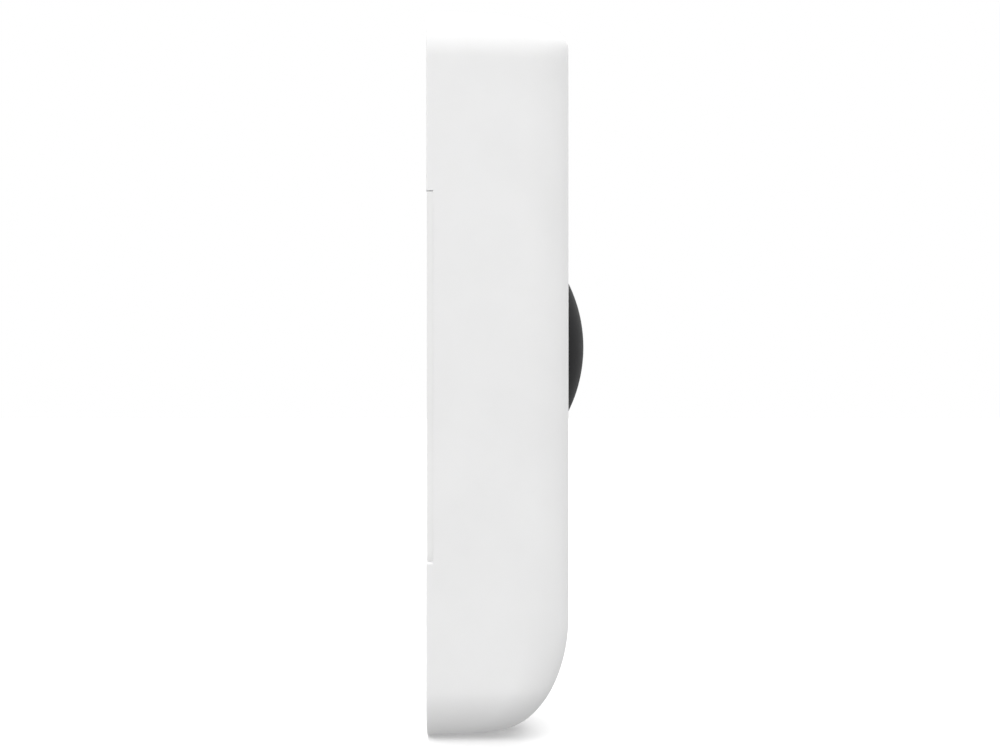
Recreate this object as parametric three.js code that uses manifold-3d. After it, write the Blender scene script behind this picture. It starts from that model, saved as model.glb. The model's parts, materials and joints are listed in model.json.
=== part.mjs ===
// A slim wired video doorbell, 119 mm tall, as an assembly of separate parts.
// Millimetres. +Z is up, the front faces -Y, and the wall is the plane Y = 0.
// Most sizes are given as a depth f in front of the wall, so a point at depth f has Y = -f.
// The origin is the middle of the wall plate's back face, on the wall.
import * as THREE from "three";
import { mergeVertices } from "three/addons/utils/BufferGeometryUtils.js";
import Module from "manifold-3d";

// ---- driving dimensions ----

const HALF_HEIGHT = 59.7;
const HALF_WIDTH = 20.3;
const DEPTH = 23.2;
const CORNER = 8; // radius of the corners seen from the front
const TOP_CURVE = { rise: 5.9, run: 11.4 }; // quarter ellipse from the top face to the front face
const BOTTOM_CURVE = { rise: 19.3, run: 13.2 }; // the long sweep under the button
const SIDE_CURVE = { rise: 4.2, run: 7 }; // quarter ellipse from the side faces to the front face
const SIDE_TAPER = 0.03; // how far every outer wall leans in, per millimetre of depth

const COVER_SKIN = 1.7;
const FRAME_INSET = 2.0; // the inner housing stands this far inside the outer surface
const INNER_INSET = 3.4; // the inside of the inner housing
const SLIP = 0.3; // gap round parts that pass through the cover

const CAMERA_Z = 4.5;
const BUTTON_Z = -30;
const MOTION_Z = 34;
const MICROPHONE_Z = 43.5;

const DOME_RADIUS = 11.45;
const DOME_SPHERE = 24.5;
const DOME_TOP = 26.15;
const RING_RADIUS = 10.4;
const MOTION_RADIUS = 5;

const REAR_EDGE = 0.15;
const BACK_WALL = { from: 2.9, to: 4.4 };
const PARTING = 9.6; // where the rear housing ends
const SEAL_THICKNESS = 0.6;
const FRAME_START = PARTING + SEAL_THICKNESS + 0.1;
const FRAME_FACE = DEPTH - INNER_INSET; // inside of the front frame's face

const POWER_BOARD = { from: 8, to: 9 };
const MAIN_BOARD = { from: 12.6, to: 13.6 };

const PLATE_THICKNESS = 2.2;
const PLATE = { halfWidth: 16.3, top: 55.8, bottom: -55.1, corner: 4 };
const TERMINAL = { x: 8, z: -17.5 };
const LOCK = { depth: 6.2, seat: -56.9 }; // axis and seat of the security screw

// ---- solids from three.js geometry ----

const wasm = await Module();
wasm.setup();

function volumeOf(positions, triangles) {
  const a = new THREE.Vector3();
  const b = new THREE.Vector3();
  const c = new THREE.Vector3();
  let volume = 0;
  for (let i = 0; i < triangles.length; i += 3) {
    a.fromBufferAttribute(positions, triangles[i]);
    b.fromBufferAttribute(positions, triangles[i + 1]);
    c.fromBufferAttribute(positions, triangles[i + 2]);
    volume += a.dot(b.cross(c)) / 6;
  }
  return volume;
}

// A closed three.js geometry as a manifold-3d solid, turned to face outwards.
function solid(geometry) {
  const bare = new THREE.BufferGeometry().setAttribute("position", geometry.getAttribute("position"));
  if (geometry.index) bare.setIndex(geometry.index);
  const merged = mergeVertices(bare, 1e-4);
  const triangles = [];
  for (let i = 0; i < merged.index.count; i += 3) {
    const [a, b, c] = [0, 1, 2].map((k) => merged.index.getX(i + k));
    if (a !== b && b !== c && c !== a) triangles.push(a, b, c);
  }
  if (volumeOf(merged.attributes.position, triangles) < 0) triangles.reverse();
  return new wasm.Manifold(
    new wasm.Mesh({
      numProp: 3,
      vertProperties: new Float32Array(merged.attributes.position.array),
      triVerts: new Uint32Array(triangles),
    }),
  );
}

function geometryOf(body) {
  const mesh = body.getMesh();
  const positions = new Float32Array(mesh.numVert * 3);
  for (let i = 0; i < mesh.numVert; i += 1) {
    positions.set(mesh.vertProperties.subarray(i * mesh.numProp, i * mesh.numProp + 3), i * 3);
  }
  return new THREE.BufferGeometry()
    .setAttribute("position", new THREE.BufferAttribute(positions, 3))
    .setIndex(new THREE.BufferAttribute(mesh.triVerts, 1));
}

const joined = (first, ...others) => others.reduce((all, one) => all.add(one), first);
const cut = (first, ...tools) => tools.reduce((left, tool) => left.subtract(tool), first);

// ---- shapes ----

// A box between two corners, given by X, depth and Z.
function block([x0, x1], [f0, f1], [z0, z1]) {
  const geometry = new THREE.BoxGeometry(x1 - x0, f1 - f0, z1 - z0);
  return solid(geometry.translate((x0 + x1) / 2, -(f0 + f1) / 2, (z0 + z1) / 2));
}

// A box of a given width and height round a centre seen from the front.
function chip(x, z, width, height, f0, f1) {
  return block([x - width / 2, x + width / 2], [f0, f1], [z - height / 2, z + height / 2]);
}

function roundedRectangle(x0, x1, z0, z1, radius) {
  const shape = new THREE.Shape();
  shape.moveTo(x0 + radius, z0);
  shape.lineTo(x1 - radius, z0);
  shape.absarc(x1 - radius, z0 + radius, radius, -Math.PI / 2, 0);
  shape.lineTo(x1, z1 - radius);
  shape.absarc(x1 - radius, z1 - radius, radius, 0, Math.PI / 2);
  shape.lineTo(x0 + radius, z1);
  shape.absarc(x0 + radius, z1 - radius, radius, Math.PI / 2, Math.PI);
  shape.lineTo(x0, z0 + radius);
  shape.absarc(x0 + radius, z0 + radius, radius, Math.PI, 1.5 * Math.PI);
  return shape;
}

// An outline drawn in X and Z, extruded between two depths.
function slabGeometry(shape, f0, f1, curveSegments = 3) {
  const geometry = new THREE.ExtrudeGeometry(shape, { depth: f1 - f0, bevelEnabled: false, curveSegments });
  return geometry.translate(0, 0, f0).rotateX(Math.PI / 2);
}

const slab = (shape, f0, f1, curveSegments) => solid(slabGeometry(shape, f0, f1, curveSegments));

// An outline drawn in depth and Z, extruded between two values of X.
function rail(outline, x0, x1) {
  const shape = new THREE.Shape(outline);
  const geometry = new THREE.ExtrudeGeometry(shape, { depth: x1 - x0, bevelEnabled: false });
  geometry.applyMatrix4(new THREE.Matrix4().set(0, 0, 1, x0, -1, 0, 0, 0, 0, 1, 0, 0, 0, 0, 0, 1));
  return solid(geometry);
}

// A profile of [radius, depth] turned round an axis that points at the wall.
function turned(profile, x, z, segments = 24) {
  const points = profile.map(([radius, depth]) => new THREE.Vector2(radius, depth));
  return solid(new THREE.LatheGeometry(points, segments).rotateX(Math.PI).translate(x, 0, z));
}

// A closed profile of [radius, depth] points, which turned() needs for a ring.
const ring = (profile, x, z, segments) => turned([...profile, profile[0]], x, z, segments);

const disc = (x, z, radius, f0, f1, segments = 20) =>
  turned([[0, f0], [radius, f0], [radius, f1], [0, f1]], x, z, segments);

// A profile of [radius, Z] turned round an upright axis.
function upright(profile, x, depth, segments = 16) {
  const points = profile.map(([radius, z]) => new THREE.Vector2(radius, z));
  return solid(new THREE.LatheGeometry(points, segments).rotateX(Math.PI / 2).translate(x, -depth, 0));
}

// A round lead along points of [x, depth, z].
function lead(points, radius, steps) {
  const section = new THREE.Shape().absarc(0, 0, radius, 0, 2 * Math.PI);
  const path = points.map(([x, depth, z]) => new THREE.Vector3(x, -depth, z));
  const extrudePath = new THREE.CatmullRomCurve3(path);
  return solid(new THREE.ExtrudeGeometry(section, { steps, extrudePath, curveSegments: 4 }));
}

// The outer walls lean in towards the front, the same distance on every side.
function leanIn(geometry) {
  const position = geometry.getAttribute("position");
  for (let i = 0; i < position.count; i += 1) {
    const depth = -position.getY(i);
    position.setX(i, position.getX(i) * (1 - (SIDE_TAPER * depth) / HALF_WIDTH));
    position.setZ(i, position.getZ(i) * (1 - (SIDE_TAPER * depth) / HALF_HEIGHT));
  }
  return geometry;
}

// How far a quarter ellipse has fallen back at a distance from its end.
function fallBack(rise, run, fromEnd) {
  return fromEnd >= rise ? 0 : run * (1 - Math.sqrt(1 - ((rise - fromEnd) / rise) ** 2));
}

// The distances from an end of the body at which it is cut into sections: close together where it curves.
function stations(rises, steps) {
  const found = [];
  for (const rise of rises) {
    for (let i = 0; i <= steps; i += 1) found.push(rise * (1 - Math.cos((Math.PI / 2) * (i / steps))));
  }
  found.sort((a, b) => a - b);
  return found.filter((value, i) => i === 0 || value - found[i - 1] > 0.12);
}

// The body's outer form moved in by an inset, from just behind the wall plane to its face.
function bodyForm(inset, steps) {
  const rear = inset > 0 ? -1 : 0;
  const corner = CORNER - inset;
  const ends = [-1, 1].map((side) => {
    const curve = side > 0 ? TOP_CURVE : BOTTOM_CURVE;
    return { side, rise: curve.rise - inset, run: curve.run - inset };
  });
  const sections = [];
  for (const { side, rise, run } of ends) {
    const heights = stations([corner, rise], steps);
    if (side > 0) heights.reverse();
    for (const fromEnd of heights) {
      sections.push({
        z: side * (HALF_HEIGHT - inset - fromEnd),
        halfWidth: HALF_WIDTH - inset - fallBack(corner, corner, fromEnd),
        face: DEPTH - inset - fallBack(rise, run, fromEnd),
      });
    }
  }
  const across = SIDE_CURVE.rise - inset * 0.6;
  const down = SIDE_CURVE.run - inset;
  const half = [];
  for (let i = 0; i <= steps; i += 1) {
    const angle = (Math.PI / 2) * (i / steps);
    half.push([across * (1 - Math.cos(angle)), down * (1 - Math.sin(angle))]);
  }
  const outlines = sections.map(({ z, halfWidth, face }) => {
    const left = [[-halfWidth, rear], ...half.map(([x, f]) => [-halfWidth + x, face - f])];
    const right = left.map(([x, f]) => [-x, f]).reverse();
    return [...left, ...right].map(([x, f]) => [x, -f, z]);
  });
  return solid(leanIn(loft(outlines)));
}

// A closed skin through outlines that all have the same number of points.
function loft(outlines) {
  const count = outlines[0].length;
  const triangles = [];
  for (let row = 0; row + 1 < outlines.length; row += 1) {
    for (let i = 0; i < count; i += 1) {
      const [a, b] = [row * count + i, row * count + ((i + 1) % count)];
      triangles.push(a, b, b + count, a, b + count, a + count);
    }
  }
  const last = (outlines.length - 1) * count;
  for (let i = 1; i + 1 < count; i += 1) triangles.push(0, i + 1, i, last, last + i, last + i + 1);
  return new THREE.BufferGeometry()
    .setAttribute("position", new THREE.Float32BufferAttribute(outlines.flat(2), 3))
    .setIndex(triangles);
}

// The body's outline seen from the front, moved in by an inset, between two depths.
function bodySlab(inset, f0, f1) {
  const [w, h] = [HALF_WIDTH - inset, HALF_HEIGHT - inset];
  return solid(leanIn(slabGeometry(roundedRectangle(-w, w, -h, h, CORNER - inset), f0, f1)));
}

// ---- materials ----

function finish(color, roughness, metalness = 0) {
  return new THREE.MeshStandardMaterial({ color, roughness, metalness });
}

const WHITE_SHELL = finish(0xecedee, 0.42);
const DARK_PLASTIC = finish(0x2a2b2d, 0.55);
const BLACK_GLOSS = finish(0x111213, 0.2);
const GLASS = finish(0x20242c, 0.05);
const DIFFUSER = finish(0xf4f6f8, 0.3);
const RUBBER = finish(0x1d1d1e, 0.8);
const BOARD = finish(0x15392a, 0.5);
const STEEL = finish(0xc4c7ca, 0.3, 1);
const BRASS = finish(0xc9a24c, 0.35, 1);
const ALUMINIUM = finish(0xb7bbbf, 0.4, 1);
const COPPER = finish(0xb87333, 0.35, 1);

const doorbell = new THREE.Group();

function part(name, body, material) {
  const mesh = new THREE.Mesh(geometryOf(body), material);
  mesh.name = name;
  doorbell.add(mesh);
}

// ---- wall plate: screwed to the wall, holds the doorbell by two curved tongues and a slotted tab ----

const SCREW_SLOT = { z: 39, halfWidth: 2.1, halfLength: 4.2 };
const WIRE_OPENING = { halfWidth: 12.8, halfHeight: 8 };
const SWING_CENTRE_Z = HALF_HEIGHT; // the doorbell swings off the plate round its own top rear edge
const TONGUE = { inner: 7.6, outer: 9, endDegrees: 45, x: [3.5, 9.5] };

// A rounded opening's outline round a height, grown by a border.
function opening(halfWidth, halfHeight, z, border, radius) {
  const [w, h] = [halfWidth + border, halfHeight + border];
  return roundedRectangle(-w, w, z - h, z + h, radius);
}

// A curved bar round the swing's centre, between two radii and two angles from straight down.
function swingArc(inner, outer, fromDegrees, toDegrees, [x0, x1]) {
  const steps = 6;
  const at = (radius, i) => {
    const angle = THREE.MathUtils.degToRad(fromDegrees + ((toDegrees - fromDegrees) * i) / steps);
    return new THREE.Vector2(radius * Math.sin(angle), SWING_CENTRE_Z - radius * Math.cos(angle));
  };
  const indices = [...Array(steps + 1).keys()];
  const outline = [...indices.map((i) => at(outer, i)), ...indices.reverse().map((i) => at(inner, i))];
  return rail(outline, x0, x1);
}

function wallPlate() {
  const { halfWidth, top, bottom, corner } = PLATE;
  let plate = slab(roundedRectangle(-halfWidth, halfWidth, bottom, top, corner), 0, PLATE_THICKNESS);
  const ribTop = PLATE_THICKNESS + 0.4;
  const wires = [WIRE_OPENING.halfWidth, WIRE_OPENING.halfHeight, TERMINAL.z];
  plate = plate.add(slab(opening(...wires, 1.2, 3), 1, ribTop));
  plate = plate.subtract(slab(opening(...wires, 0, 2), -1, 5));
  for (const z of [-SCREW_SLOT.z, SCREW_SLOT.z]) {
    const slot = [SCREW_SLOT.halfWidth, SCREW_SLOT.halfLength, z];
    plate = plate.add(slab(opening(...slot, 2.4, SCREW_SLOT.halfWidth + 2.2), 1, ribTop));
    plate = plate.subtract(slab(opening(...slot, 0, SCREW_SLOT.halfWidth - 0.01), -1, 5));
    plate = plate.subtract(slab(opening(...slot, 1.3, SCREW_SLOT.halfWidth + 1.2), 1.6, 5)); // for the head
  }
  for (const side of [-1, 1]) {
    const x = TONGUE.x.map((value) => value * side).sort((a, b) => a - b);
    plate = plate.add(swingArc(TONGUE.inner, TONGUE.outer, 8, TONGUE.endDegrees, x));
  }
  const arrow = new THREE.Shape([[-2, 3.6], [2, 3.6], [0, 7.4]].map(([x, z]) => new THREE.Vector2(x, z)));
  plate = plate.add(slab(arrow, 1, ribTop));
  // the tab under the security screw, with a slot open to the front
  plate = plate.add(block([-5, 5], [0, LOCK.depth + 2.3], [bottom, bottom + 1.5]));
  const slot = joined(
    upright([[0, -57], [1.6, -57], [1.6, -52], [0, -52]], 0, LOCK.depth),
    block([-1.6, 1.6], [LOCK.depth, LOCK.depth + 5], [-57, -52]),
  );
  return plate.subtract(slot);
}

part("wall_plate", wallPlate(), WHITE_SHELL);

// ---- front cover: the white shell that is seen, which pulls off forwards ----

const REAR_NOTCH = { depth: 1.1, bottom: -30.4, top: 29.6 };
const SPEAKER_SLOT_X = [-6, -4, -2, 0, 2, 4, 6];
const SPEAKER_SLOT = { halfWidth: 0.55, depths: [12.4, 15.8], z: [-66, -52.5] };

function speakerSlots() {
  const { halfWidth, depths, z } = SPEAKER_SLOT;
  return SPEAKER_SLOT_X.map((x) => block([x - halfWidth, x + halfWidth], depths, z));
}

function frontCover() {
  let cover = bodyForm(0, 6).subtract(bodyForm(COVER_SKIN, 4));
  cover = cut(
    cover,
    disc(0, CAMERA_Z, DOME_RADIUS + SLIP, 15, 30, 40),
    disc(0, BUTTON_Z, RING_RADIUS + SLIP, 15, 30, 40),
    disc(0, MOTION_Z, MOTION_RADIUS + 0.25, 15, 30, 28),
    disc(0, MICROPHONE_Z, 0.6, 15, 30, 12),
    ...speakerSlots(),
  );
  for (const x of [[-25, -15], [15, 25]]) {
    cover = cover.subtract(block(x, [-1, REAR_NOTCH.depth], [REAR_NOTCH.bottom, REAR_NOTCH.top]));
  }
  // An open notch lets the cover slide off past the security screw's head.
  const notch = joined(
    upright([[0, -63], [2.8, -63], [2.8, -55], [0, -55]], 0, LOCK.depth, 24),
    block([-2.8, 2.8], [-1, LOCK.depth], [-63, -55]),
  );
  return cover.subtract(notch);
}

part("front_cover", frontCover(), WHITE_SHELL);

// ---- rear housing: the tray behind the electronics, open at the back for the wall plate ----

const HOUSING_SCREWS = {
  top_left: [-12.8, 51],
  top_right: [12.8, 51],
  bottom_left: [-13.4, -47],
  bottom_right: [13.4, -47],
};
const RESET = { x: -9, z: 2 };

function rearHousing() {
  const inside = BACK_WALL.to;
  let tray = bodySlab(FRAME_INSET, REAR_EDGE, PARTING);
  tray = cut(tray, bodySlab(INNER_INSET, -1, BACK_WALL.from), bodySlab(INNER_INSET, inside, PARTING + 1));
  const flange = [REAR_EDGE, REAR_NOTCH.depth - 0.15];
  const flangeZ = [REAR_NOTCH.bottom + 0.3, REAR_NOTCH.top - 0.3];
  tray = joined(tray, block([-20.2, -17.4], flange, flangeZ), block([17.4, 20.2], flange, flangeZ));
  // pocket for the two wire terminals
  tray = tray.add(block([-13.6, 13.6], [inside - 0.1, 6.6], [TERMINAL.z - 7.2, TERMINAL.z + 7.2]));
  tray = tray.subtract(block([-12.3, 12.3], [-1, 5.2], [TERMINAL.z - 6, TERMINAL.z + 6]));
  for (const x of [-TERMINAL.x, TERMINAL.x]) tray = tray.subtract(disc(x, TERMINAL.z, 2.5, 4, 8, 16));
  // pocket that the wall plate's tongues swing into
  tray = tray.add(block([-10.9, 10.9], [inside - 0.1, 8.4], [49.4, 56.5]));
  for (const side of [-1, 1]) {
    const [x0, x1] = TONGUE.x.map((value) => value * side).sort((a, b) => a - b);
    tray = tray.subtract(swingArc(TONGUE.inner - 0.4, TONGUE.outer + 0.4, 2, 50, [x0 - 0.4, x1 + 0.4]));
  }
  // pocket for the wall plate's tab and the nut above it
  tray = tray.add(block([-6.8, 6.8], [inside - 0.1, PARTING], [-57, -49.4]));
  tray = tray.subtract(block([-5.5, 5.5], [-1, 9.1], [-55.6, -53.1]));
  tray = tray.subtract(block([-2.9, 2.9], [3.3, 9.1], [-53.2, -50.8]));
  tray = tray.subtract(upright([[0, -60], [1.45, -60], [1.45, -50], [0, -50]], 0, LOCK.depth));
  tray = tray.subtract(upright([[0, -60], [2.75, -60], [2.75, LOCK.seat], [0, LOCK.seat]], 0, LOCK.depth));
  for (const [x, z] of Object.values(HOUSING_SCREWS)) {
    tray = tray.add(disc(x, z, 3, inside - 0.1, PARTING + 0.3, 16));
    tray = cut(tray, disc(x, z, 1.15, 2, 12, 12), disc(x, z, 2.15, 2, 4.2, 16));
  }
  tray = tray.subtract(disc(RESET.x, RESET.z, 1.95, 2, 6, 16));
  return tray;
}

part("rear_housing", rearHousing(), WHITE_SHELL);

// ---- seal and front frame ----

part(
  "housing_seal",
  bodySlab(FRAME_INSET + 0.1, PARTING + 0.05, PARTING + SEAL_THICKNESS).subtract(
    bodySlab(INNER_INSET - 0.1, PARTING - 1, PARTING + 2),
  ),
  RUBBER,
);

const BOARD_SCREWS = { upper: [12.6, 24], lower: [-12.6, -14] };

function frontFrame() {
  const behind = block([-30, 30], [-5, FRAME_START], [-70, 70]);
  const outside = bodyForm(FRAME_INSET, 4).subtract(behind);
  let frame = outside.subtract(bodyForm(INNER_INSET, 3));
  for (const [x, z] of Object.values(HOUSING_SCREWS)) {
    frame = frame.add(disc(x, z, 2.7, FRAME_START, FRAME_FACE + 0.5, 16));
    frame = frame.subtract(disc(x, z, 1.1, 9, 15, 10));
  }
  for (const [x, z] of Object.values(BOARD_SCREWS)) {
    frame = frame.add(disc(x, z, 2, MAIN_BOARD.to + 0.1, FRAME_FACE + 0.5, 12));
    frame = frame.subtract(disc(x, z, 0.9, 12, 17.5, 10));
  }
  frame = frame.intersect(outside);
  return cut(
    frame,
    disc(0, CAMERA_Z, DOME_RADIUS + SLIP, 15, 30, 32),
    disc(0, BUTTON_Z, RING_RADIUS + SLIP, 15, 30, 32),
    disc(0, MOTION_Z, MOTION_RADIUS + 0.25, 15, 30, 24),
    disc(0, MICROPHONE_Z, 1, 15, 30, 12),
    ...speakerSlots(),
  );
}

part("front_frame", frontFrame(), DARK_PLASTIC);

// ---- camera: dome, seal, shroud, infrared lamps, lens, holder, sensor and its board ----

function dome() {
  const centre = DOME_TOP - DOME_SPHERE;
  const skirt = { inner: 10.15, wall: DOME_RADIUS };
  const shellArc = (sphere, radius, steps) => {
    const points = [];
    for (let i = 0; i <= steps; i += 1) {
      const r = (radius * i) / steps;
      points.push([r, centre + Math.sqrt(sphere * sphere - r * r)]);
    }
    return points;
  };
  const outside = shellArc(DOME_SPHERE, skirt.wall, 6);
  const inside = shellArc(DOME_SPHERE - 1.5, skirt.inner, 4).reverse();
  const edge = [[skirt.wall, 19.2], [13, 19.2], [13, 18.1], [skirt.inner, 18.1]];
  return turned([...outside, ...edge, ...inside], 0, CAMERA_Z, 36);
}

part("camera_dome", dome(), BLACK_GLOSS);
part("dome_seal", ring([[11.8, 19.25], [12.9, 19.25], [12.9, 19.7], [11.8, 19.7]], 0, CAMERA_Z, 36), RUBBER);

const LAMP_CIRCLE = 7.9;
const LAMP_ANGLES = { 1: 45, 2: 135, 3: 225, 4: 315 };
const around = (radius, degrees) => {
  const angle = THREE.MathUtils.degToRad(degrees);
  return [radius * Math.cos(angle), radius * Math.sin(angle)];
};

function lensShroud() {
  let shroud = ring([[5.9, 17.3], [9.8, 17.3], [9.8, 19.6], [6.4, 21.2], [5.9, 21.2]], 0, CAMERA_Z, 32);
  for (const degrees of Object.values(LAMP_ANGLES)) {
    const [x, z] = around(LAMP_CIRCLE, degrees);
    shroud = shroud.subtract(disc(x, CAMERA_Z + z, 1.7, 16, 23, 14));
  }
  return shroud;
}

part("lens_shroud", lensShroud(), DARK_PLASTIC);
part("lamp_board", ring([[6, 16.4], [9.8, 16.4], [9.8, 17.2], [6, 17.2]], 0, CAMERA_Z, 28), BOARD);
for (const [number, degrees] of Object.entries(LAMP_ANGLES)) {
  const [x, z] = around(LAMP_CIRCLE, degrees);
  const lamp = [[0, 17.25], [1.5, 17.25], [1.5, 19.6], [1.1, 20.3], [0, 20.6]];
  part("infrared_lamp_" + number, turned(lamp, x, CAMERA_Z + z, 12), GLASS);
}
part(
  "lens_barrel",
  ring(
    [[3, 14], [4, 14], [4, 18.2], [5.6, 18.2], [5.6, 22.3], [4.7, 22.3], [4.7, 21], [3, 20.4]],
    0, CAMERA_Z, 28),
  DARK_PLASTIC,
);
part(
  "front_lens",
  turned([[0, 21.3], [4.4, 21.3], [4.4, 21.9], [3, 22.5], [1.5, 22.8], [0, 22.9]], 0, CAMERA_Z, 28),
  GLASS,
);
part(
  "lens_holder",
  cut(
    joined(chip(0, CAMERA_Z, 13, 13, 11.85, 16.2), disc(0, CAMERA_Z, 5.3, 16, 17.9, 24)),
    chip(0, CAMERA_Z, 10.6, 10.6, 11, 15),
    disc(0, CAMERA_Z, 4.15, 12, 20, 24),
  ),
  DARK_PLASTIC,
);
part("image_sensor", chip(0, CAMERA_Z, 7, 7, 11.85, 12.8), GLASS);
part("sensor_board", chip(0, CAMERA_Z, 17, 17, 11, 11.8), BOARD);

function cameraRibbon() {
  const half = 0.12;
  const line = [[10.8, -2], [10.8, -4.6], [11.2, -6.2], [11.9, -7.8], [12.2, -9.2]];
  const side = (sign) => line.map(([f, z]) => new THREE.Vector2(f + sign * half, z));
  return rail([...side(1), ...side(-1).reverse()], -3, 3);
}

part("camera_ribbon", cameraRibbon(), COPPER);

// ---- push button: cap, light ring, silicone seal, switch ----

part(
  "button_cap",
  turned(
    [[0, 22.3], [3.6, 22.4], [6.6, 22.7], [7.9, 22.9], [8.75, 22.6], [8.75, 19.6], [9.65, 19.6], [9.65, 18.6],
      [7.6, 18.6], [7.6, 21], [2, 21], [2, 18.8], [0, 18.8]],
    0, BUTTON_Z, 32),
  WHITE_SHELL,
);
part(
  "light_ring",
  ring([[9.1, 22.9], [9.5, 23.1], [10, 23.1], [RING_RADIUS, 22.9], [RING_RADIUS, 19.5], [11.6, 19.5], [11.6, 18.7],
    [10, 18.7], [10, 19.75], [9.1, 19.75]], 0, BUTTON_Z, 32),
  DIFFUSER,
);
part(
  "button_seal",
  ring([[7.9, 17.6], [11, 17.6], [11, 13.7], [11.6, 13.7], [11.6, 18.4], [7.9, 18.4]], 0, BUTTON_Z, 28),
  RUBBER,
);
part(
  "switch_base",
  chip(0, BUTTON_Z, 6.2, 6.2, 13.65, 17).subtract(disc(0, BUTTON_Z, 2.4, 16, 18, 16)),
  DARK_PLASTIC,
);
part("switch_snap_dome", ring([[0.4, 16.6], [2.2, 16.1], [2.2, 16.25], [0.4, 16.75]], 0, BUTTON_Z, 16), STEEL);
part("switch_plunger", disc(0, BUTTON_Z, 1.6, 16.9, 18.75, 14), DARK_PLASTIC);

// ---- motion sensor and microphone ----

part(
  "motion_lens",
  turned([[0, 23.12], [2.5, 23.1], [4.6, 23.02], [MOTION_RADIUS, 22.8], [MOTION_RADIUS, 19.7], [5.9, 19.7], [5.9, 18.8],
    [4.2, 18.8], [4.2, 22.3], [0, 22.3]], 0, MOTION_Z, 28),
  DIFFUSER,
);
part(
  "motion_sensor",
  turned([[0, 13.65], [4.6, 13.65], [4.6, 14.2], [4, 14.2], [4, 17.9], [0, 17.9]], 0, MOTION_Z, 20),
  STEEL,
);
part("microphone", chip(0, MICROPHONE_Z, 3.8, 2.8, 13.65, 14.7), STEEL);
part("microphone_boot", ring([[0.9, 14.8], [2.4, 14.8], [2.2, 19.7], [0.9, 19.7]], 0, MICROPHONE_Z, 16), RUBBER);

// ---- speaker ----

const SPEAKER = { z: -48.4, back: 10.6, front: 14.3 };

function speakerOutline(halfWidth, halfHeight) {
  return roundedRectangle(-halfWidth, halfWidth, SPEAKER.z - halfHeight, SPEAKER.z + halfHeight, halfHeight - 0.2);
}

part(
  "speaker_frame",
  cut(
    slab(speakerOutline(9.8, 5.2), SPEAKER.back, SPEAKER.front),
    slab(speakerOutline(8.6, 4), 13, 16),
    disc(0, SPEAKER.z, 3.3, 9, 14, 20),
  ),
  DARK_PLASTIC,
);
part("speaker_magnet", disc(0, SPEAKER.z, 3.1, SPEAKER.back - 0.4, 12.6, 20), STEEL);
part("speaker_cone", slab(speakerOutline(8.4, 3.8), 13.1, 13.5), RUBBER);

// ---- main board and what is on it ----

function mainBoard() {
  let board = slab(roundedRectangle(-15.2, 15.2, -42, 46.6, 2), MAIN_BOARD.from, MAIN_BOARD.to, 3);
  board = board.subtract(chip(0, CAMERA_Z, 14, 14, 10, 16));
  for (const [x, z] of Object.values(BOARD_SCREWS)) board = board.subtract(disc(x, z, 1, 10, 16, 12));
  // soldered on: the camera ribbon's socket and three lights behind the light ring
  board = board.add(chip(0, -10.9, 8, 2.8, 11.6, MAIN_BOARD.from + 0.1));
  for (const degrees of [90, 210, 330]) {
    const [x, z] = around(9.4, degrees);
    board = board.add(chip(x, BUTTON_Z + z, 2, 1.6, MAIN_BOARD.to - 0.1, 14.4));
  }
  return board;
}

part("main_board", mainBoard(), BOARD);
part("shield_can", chip(0, 23, 15, 15, 10.9, 12.55), STEEL);

function heatSpreader() {
  const outline = [[-13.4, 4.6], [-12.4, 4.6], [-12.4, 8.9], [12.4, 8.9], [12.4, 4.6], [13.4, 4.6],
    [13.4, 10], [-13.4, 10]];
  const shape = new THREE.Shape(outline.map(([x, f]) => new THREE.Vector2(x, f)));
  const geometry = new THREE.ExtrudeGeometry(shape, { depth: 20, bevelEnabled: false });
  geometry.applyMatrix4(new THREE.Matrix4().set(1, 0, 0, 0, 0, -1, 0, 0, 0, 0, 1, 13, 0, 0, 0, 1));
  return solid(geometry);
}

part("heat_spreader", heatSpreader(), ALUMINIUM);
part("radio_module", chip(0, -33.6, 12, 14, 10.4, 12.55), STEEL);
part("antenna", block([-16.2, -15.95], [10.8, 15.8], [-38, -16]), COPPER);
part(
  "antenna_lead",
  lead([[-6.45, 11.4, -30], [-9, 11.2, -28.6], [-12, 11.2, -26], [-14.6, 11.8, -24.4], [-15.3, 12, -24]], 0.5, 10),
  RUBBER,
);
for (const [place, [x, z]] of Object.entries(BOARD_SCREWS)) {
  const profile = [[0, 11.2], [1.7, 11.2], [1.9, 11.6], [1.9, 12.5], [0.8, 12.5], [0.8, 17], [0, 17.3]];
  part("board_screw_" + place, turned(profile, x, z, 14), STEEL);
}

// ---- power board, terminals, capacitor, reset switch ----

function powerBoard() {
  let board = slab(roundedRectangle(-15.2, 15.2, -25.4, 9, 2), POWER_BOARD.from, POWER_BOARD.to, 3);
  for (const x of [-TERMINAL.x, TERMINAL.x]) board = board.subtract(disc(x, TERMINAL.z, 1.9, 6, 11, 14));
  return board.add(chip(0.5, -6.2, 6.4, 5, 5.9, POWER_BOARD.from + 0.1)); // with the rectifier soldered on
}

part("power_board", powerBoard(), BOARD);
part("board_connector", chip(0, -20.4, 12, 3.6, 9.05, 12.55), DARK_PLASTIC);
part("power_inductor", slab(roundedRectangle(4.8, 12, -0.6, 6.6, 1.4), 4.9, 7.95, 3), DARK_PLASTIC);
part("power_capacitor", disc(-9.4, -6.2, 3, 4.7, 7.95, 20), ALUMINIUM);

function supercapacitor() {
  const [radius, halfLength] = [3.7, 10];
  const end = [[radius, halfLength - 0.5], [radius - 0.5, halfLength], [0, halfLength]];
  const otherEnd = end.map(([r, x]) => [r, -x]).reverse();
  const points = [...otherEnd, ...end].map(([r, x]) => new THREE.Vector2(r, x));
  return solid(new THREE.LatheGeometry(points, 20).rotateZ(Math.PI / 2).translate(0, -8.5, 42.2));
}

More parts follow.
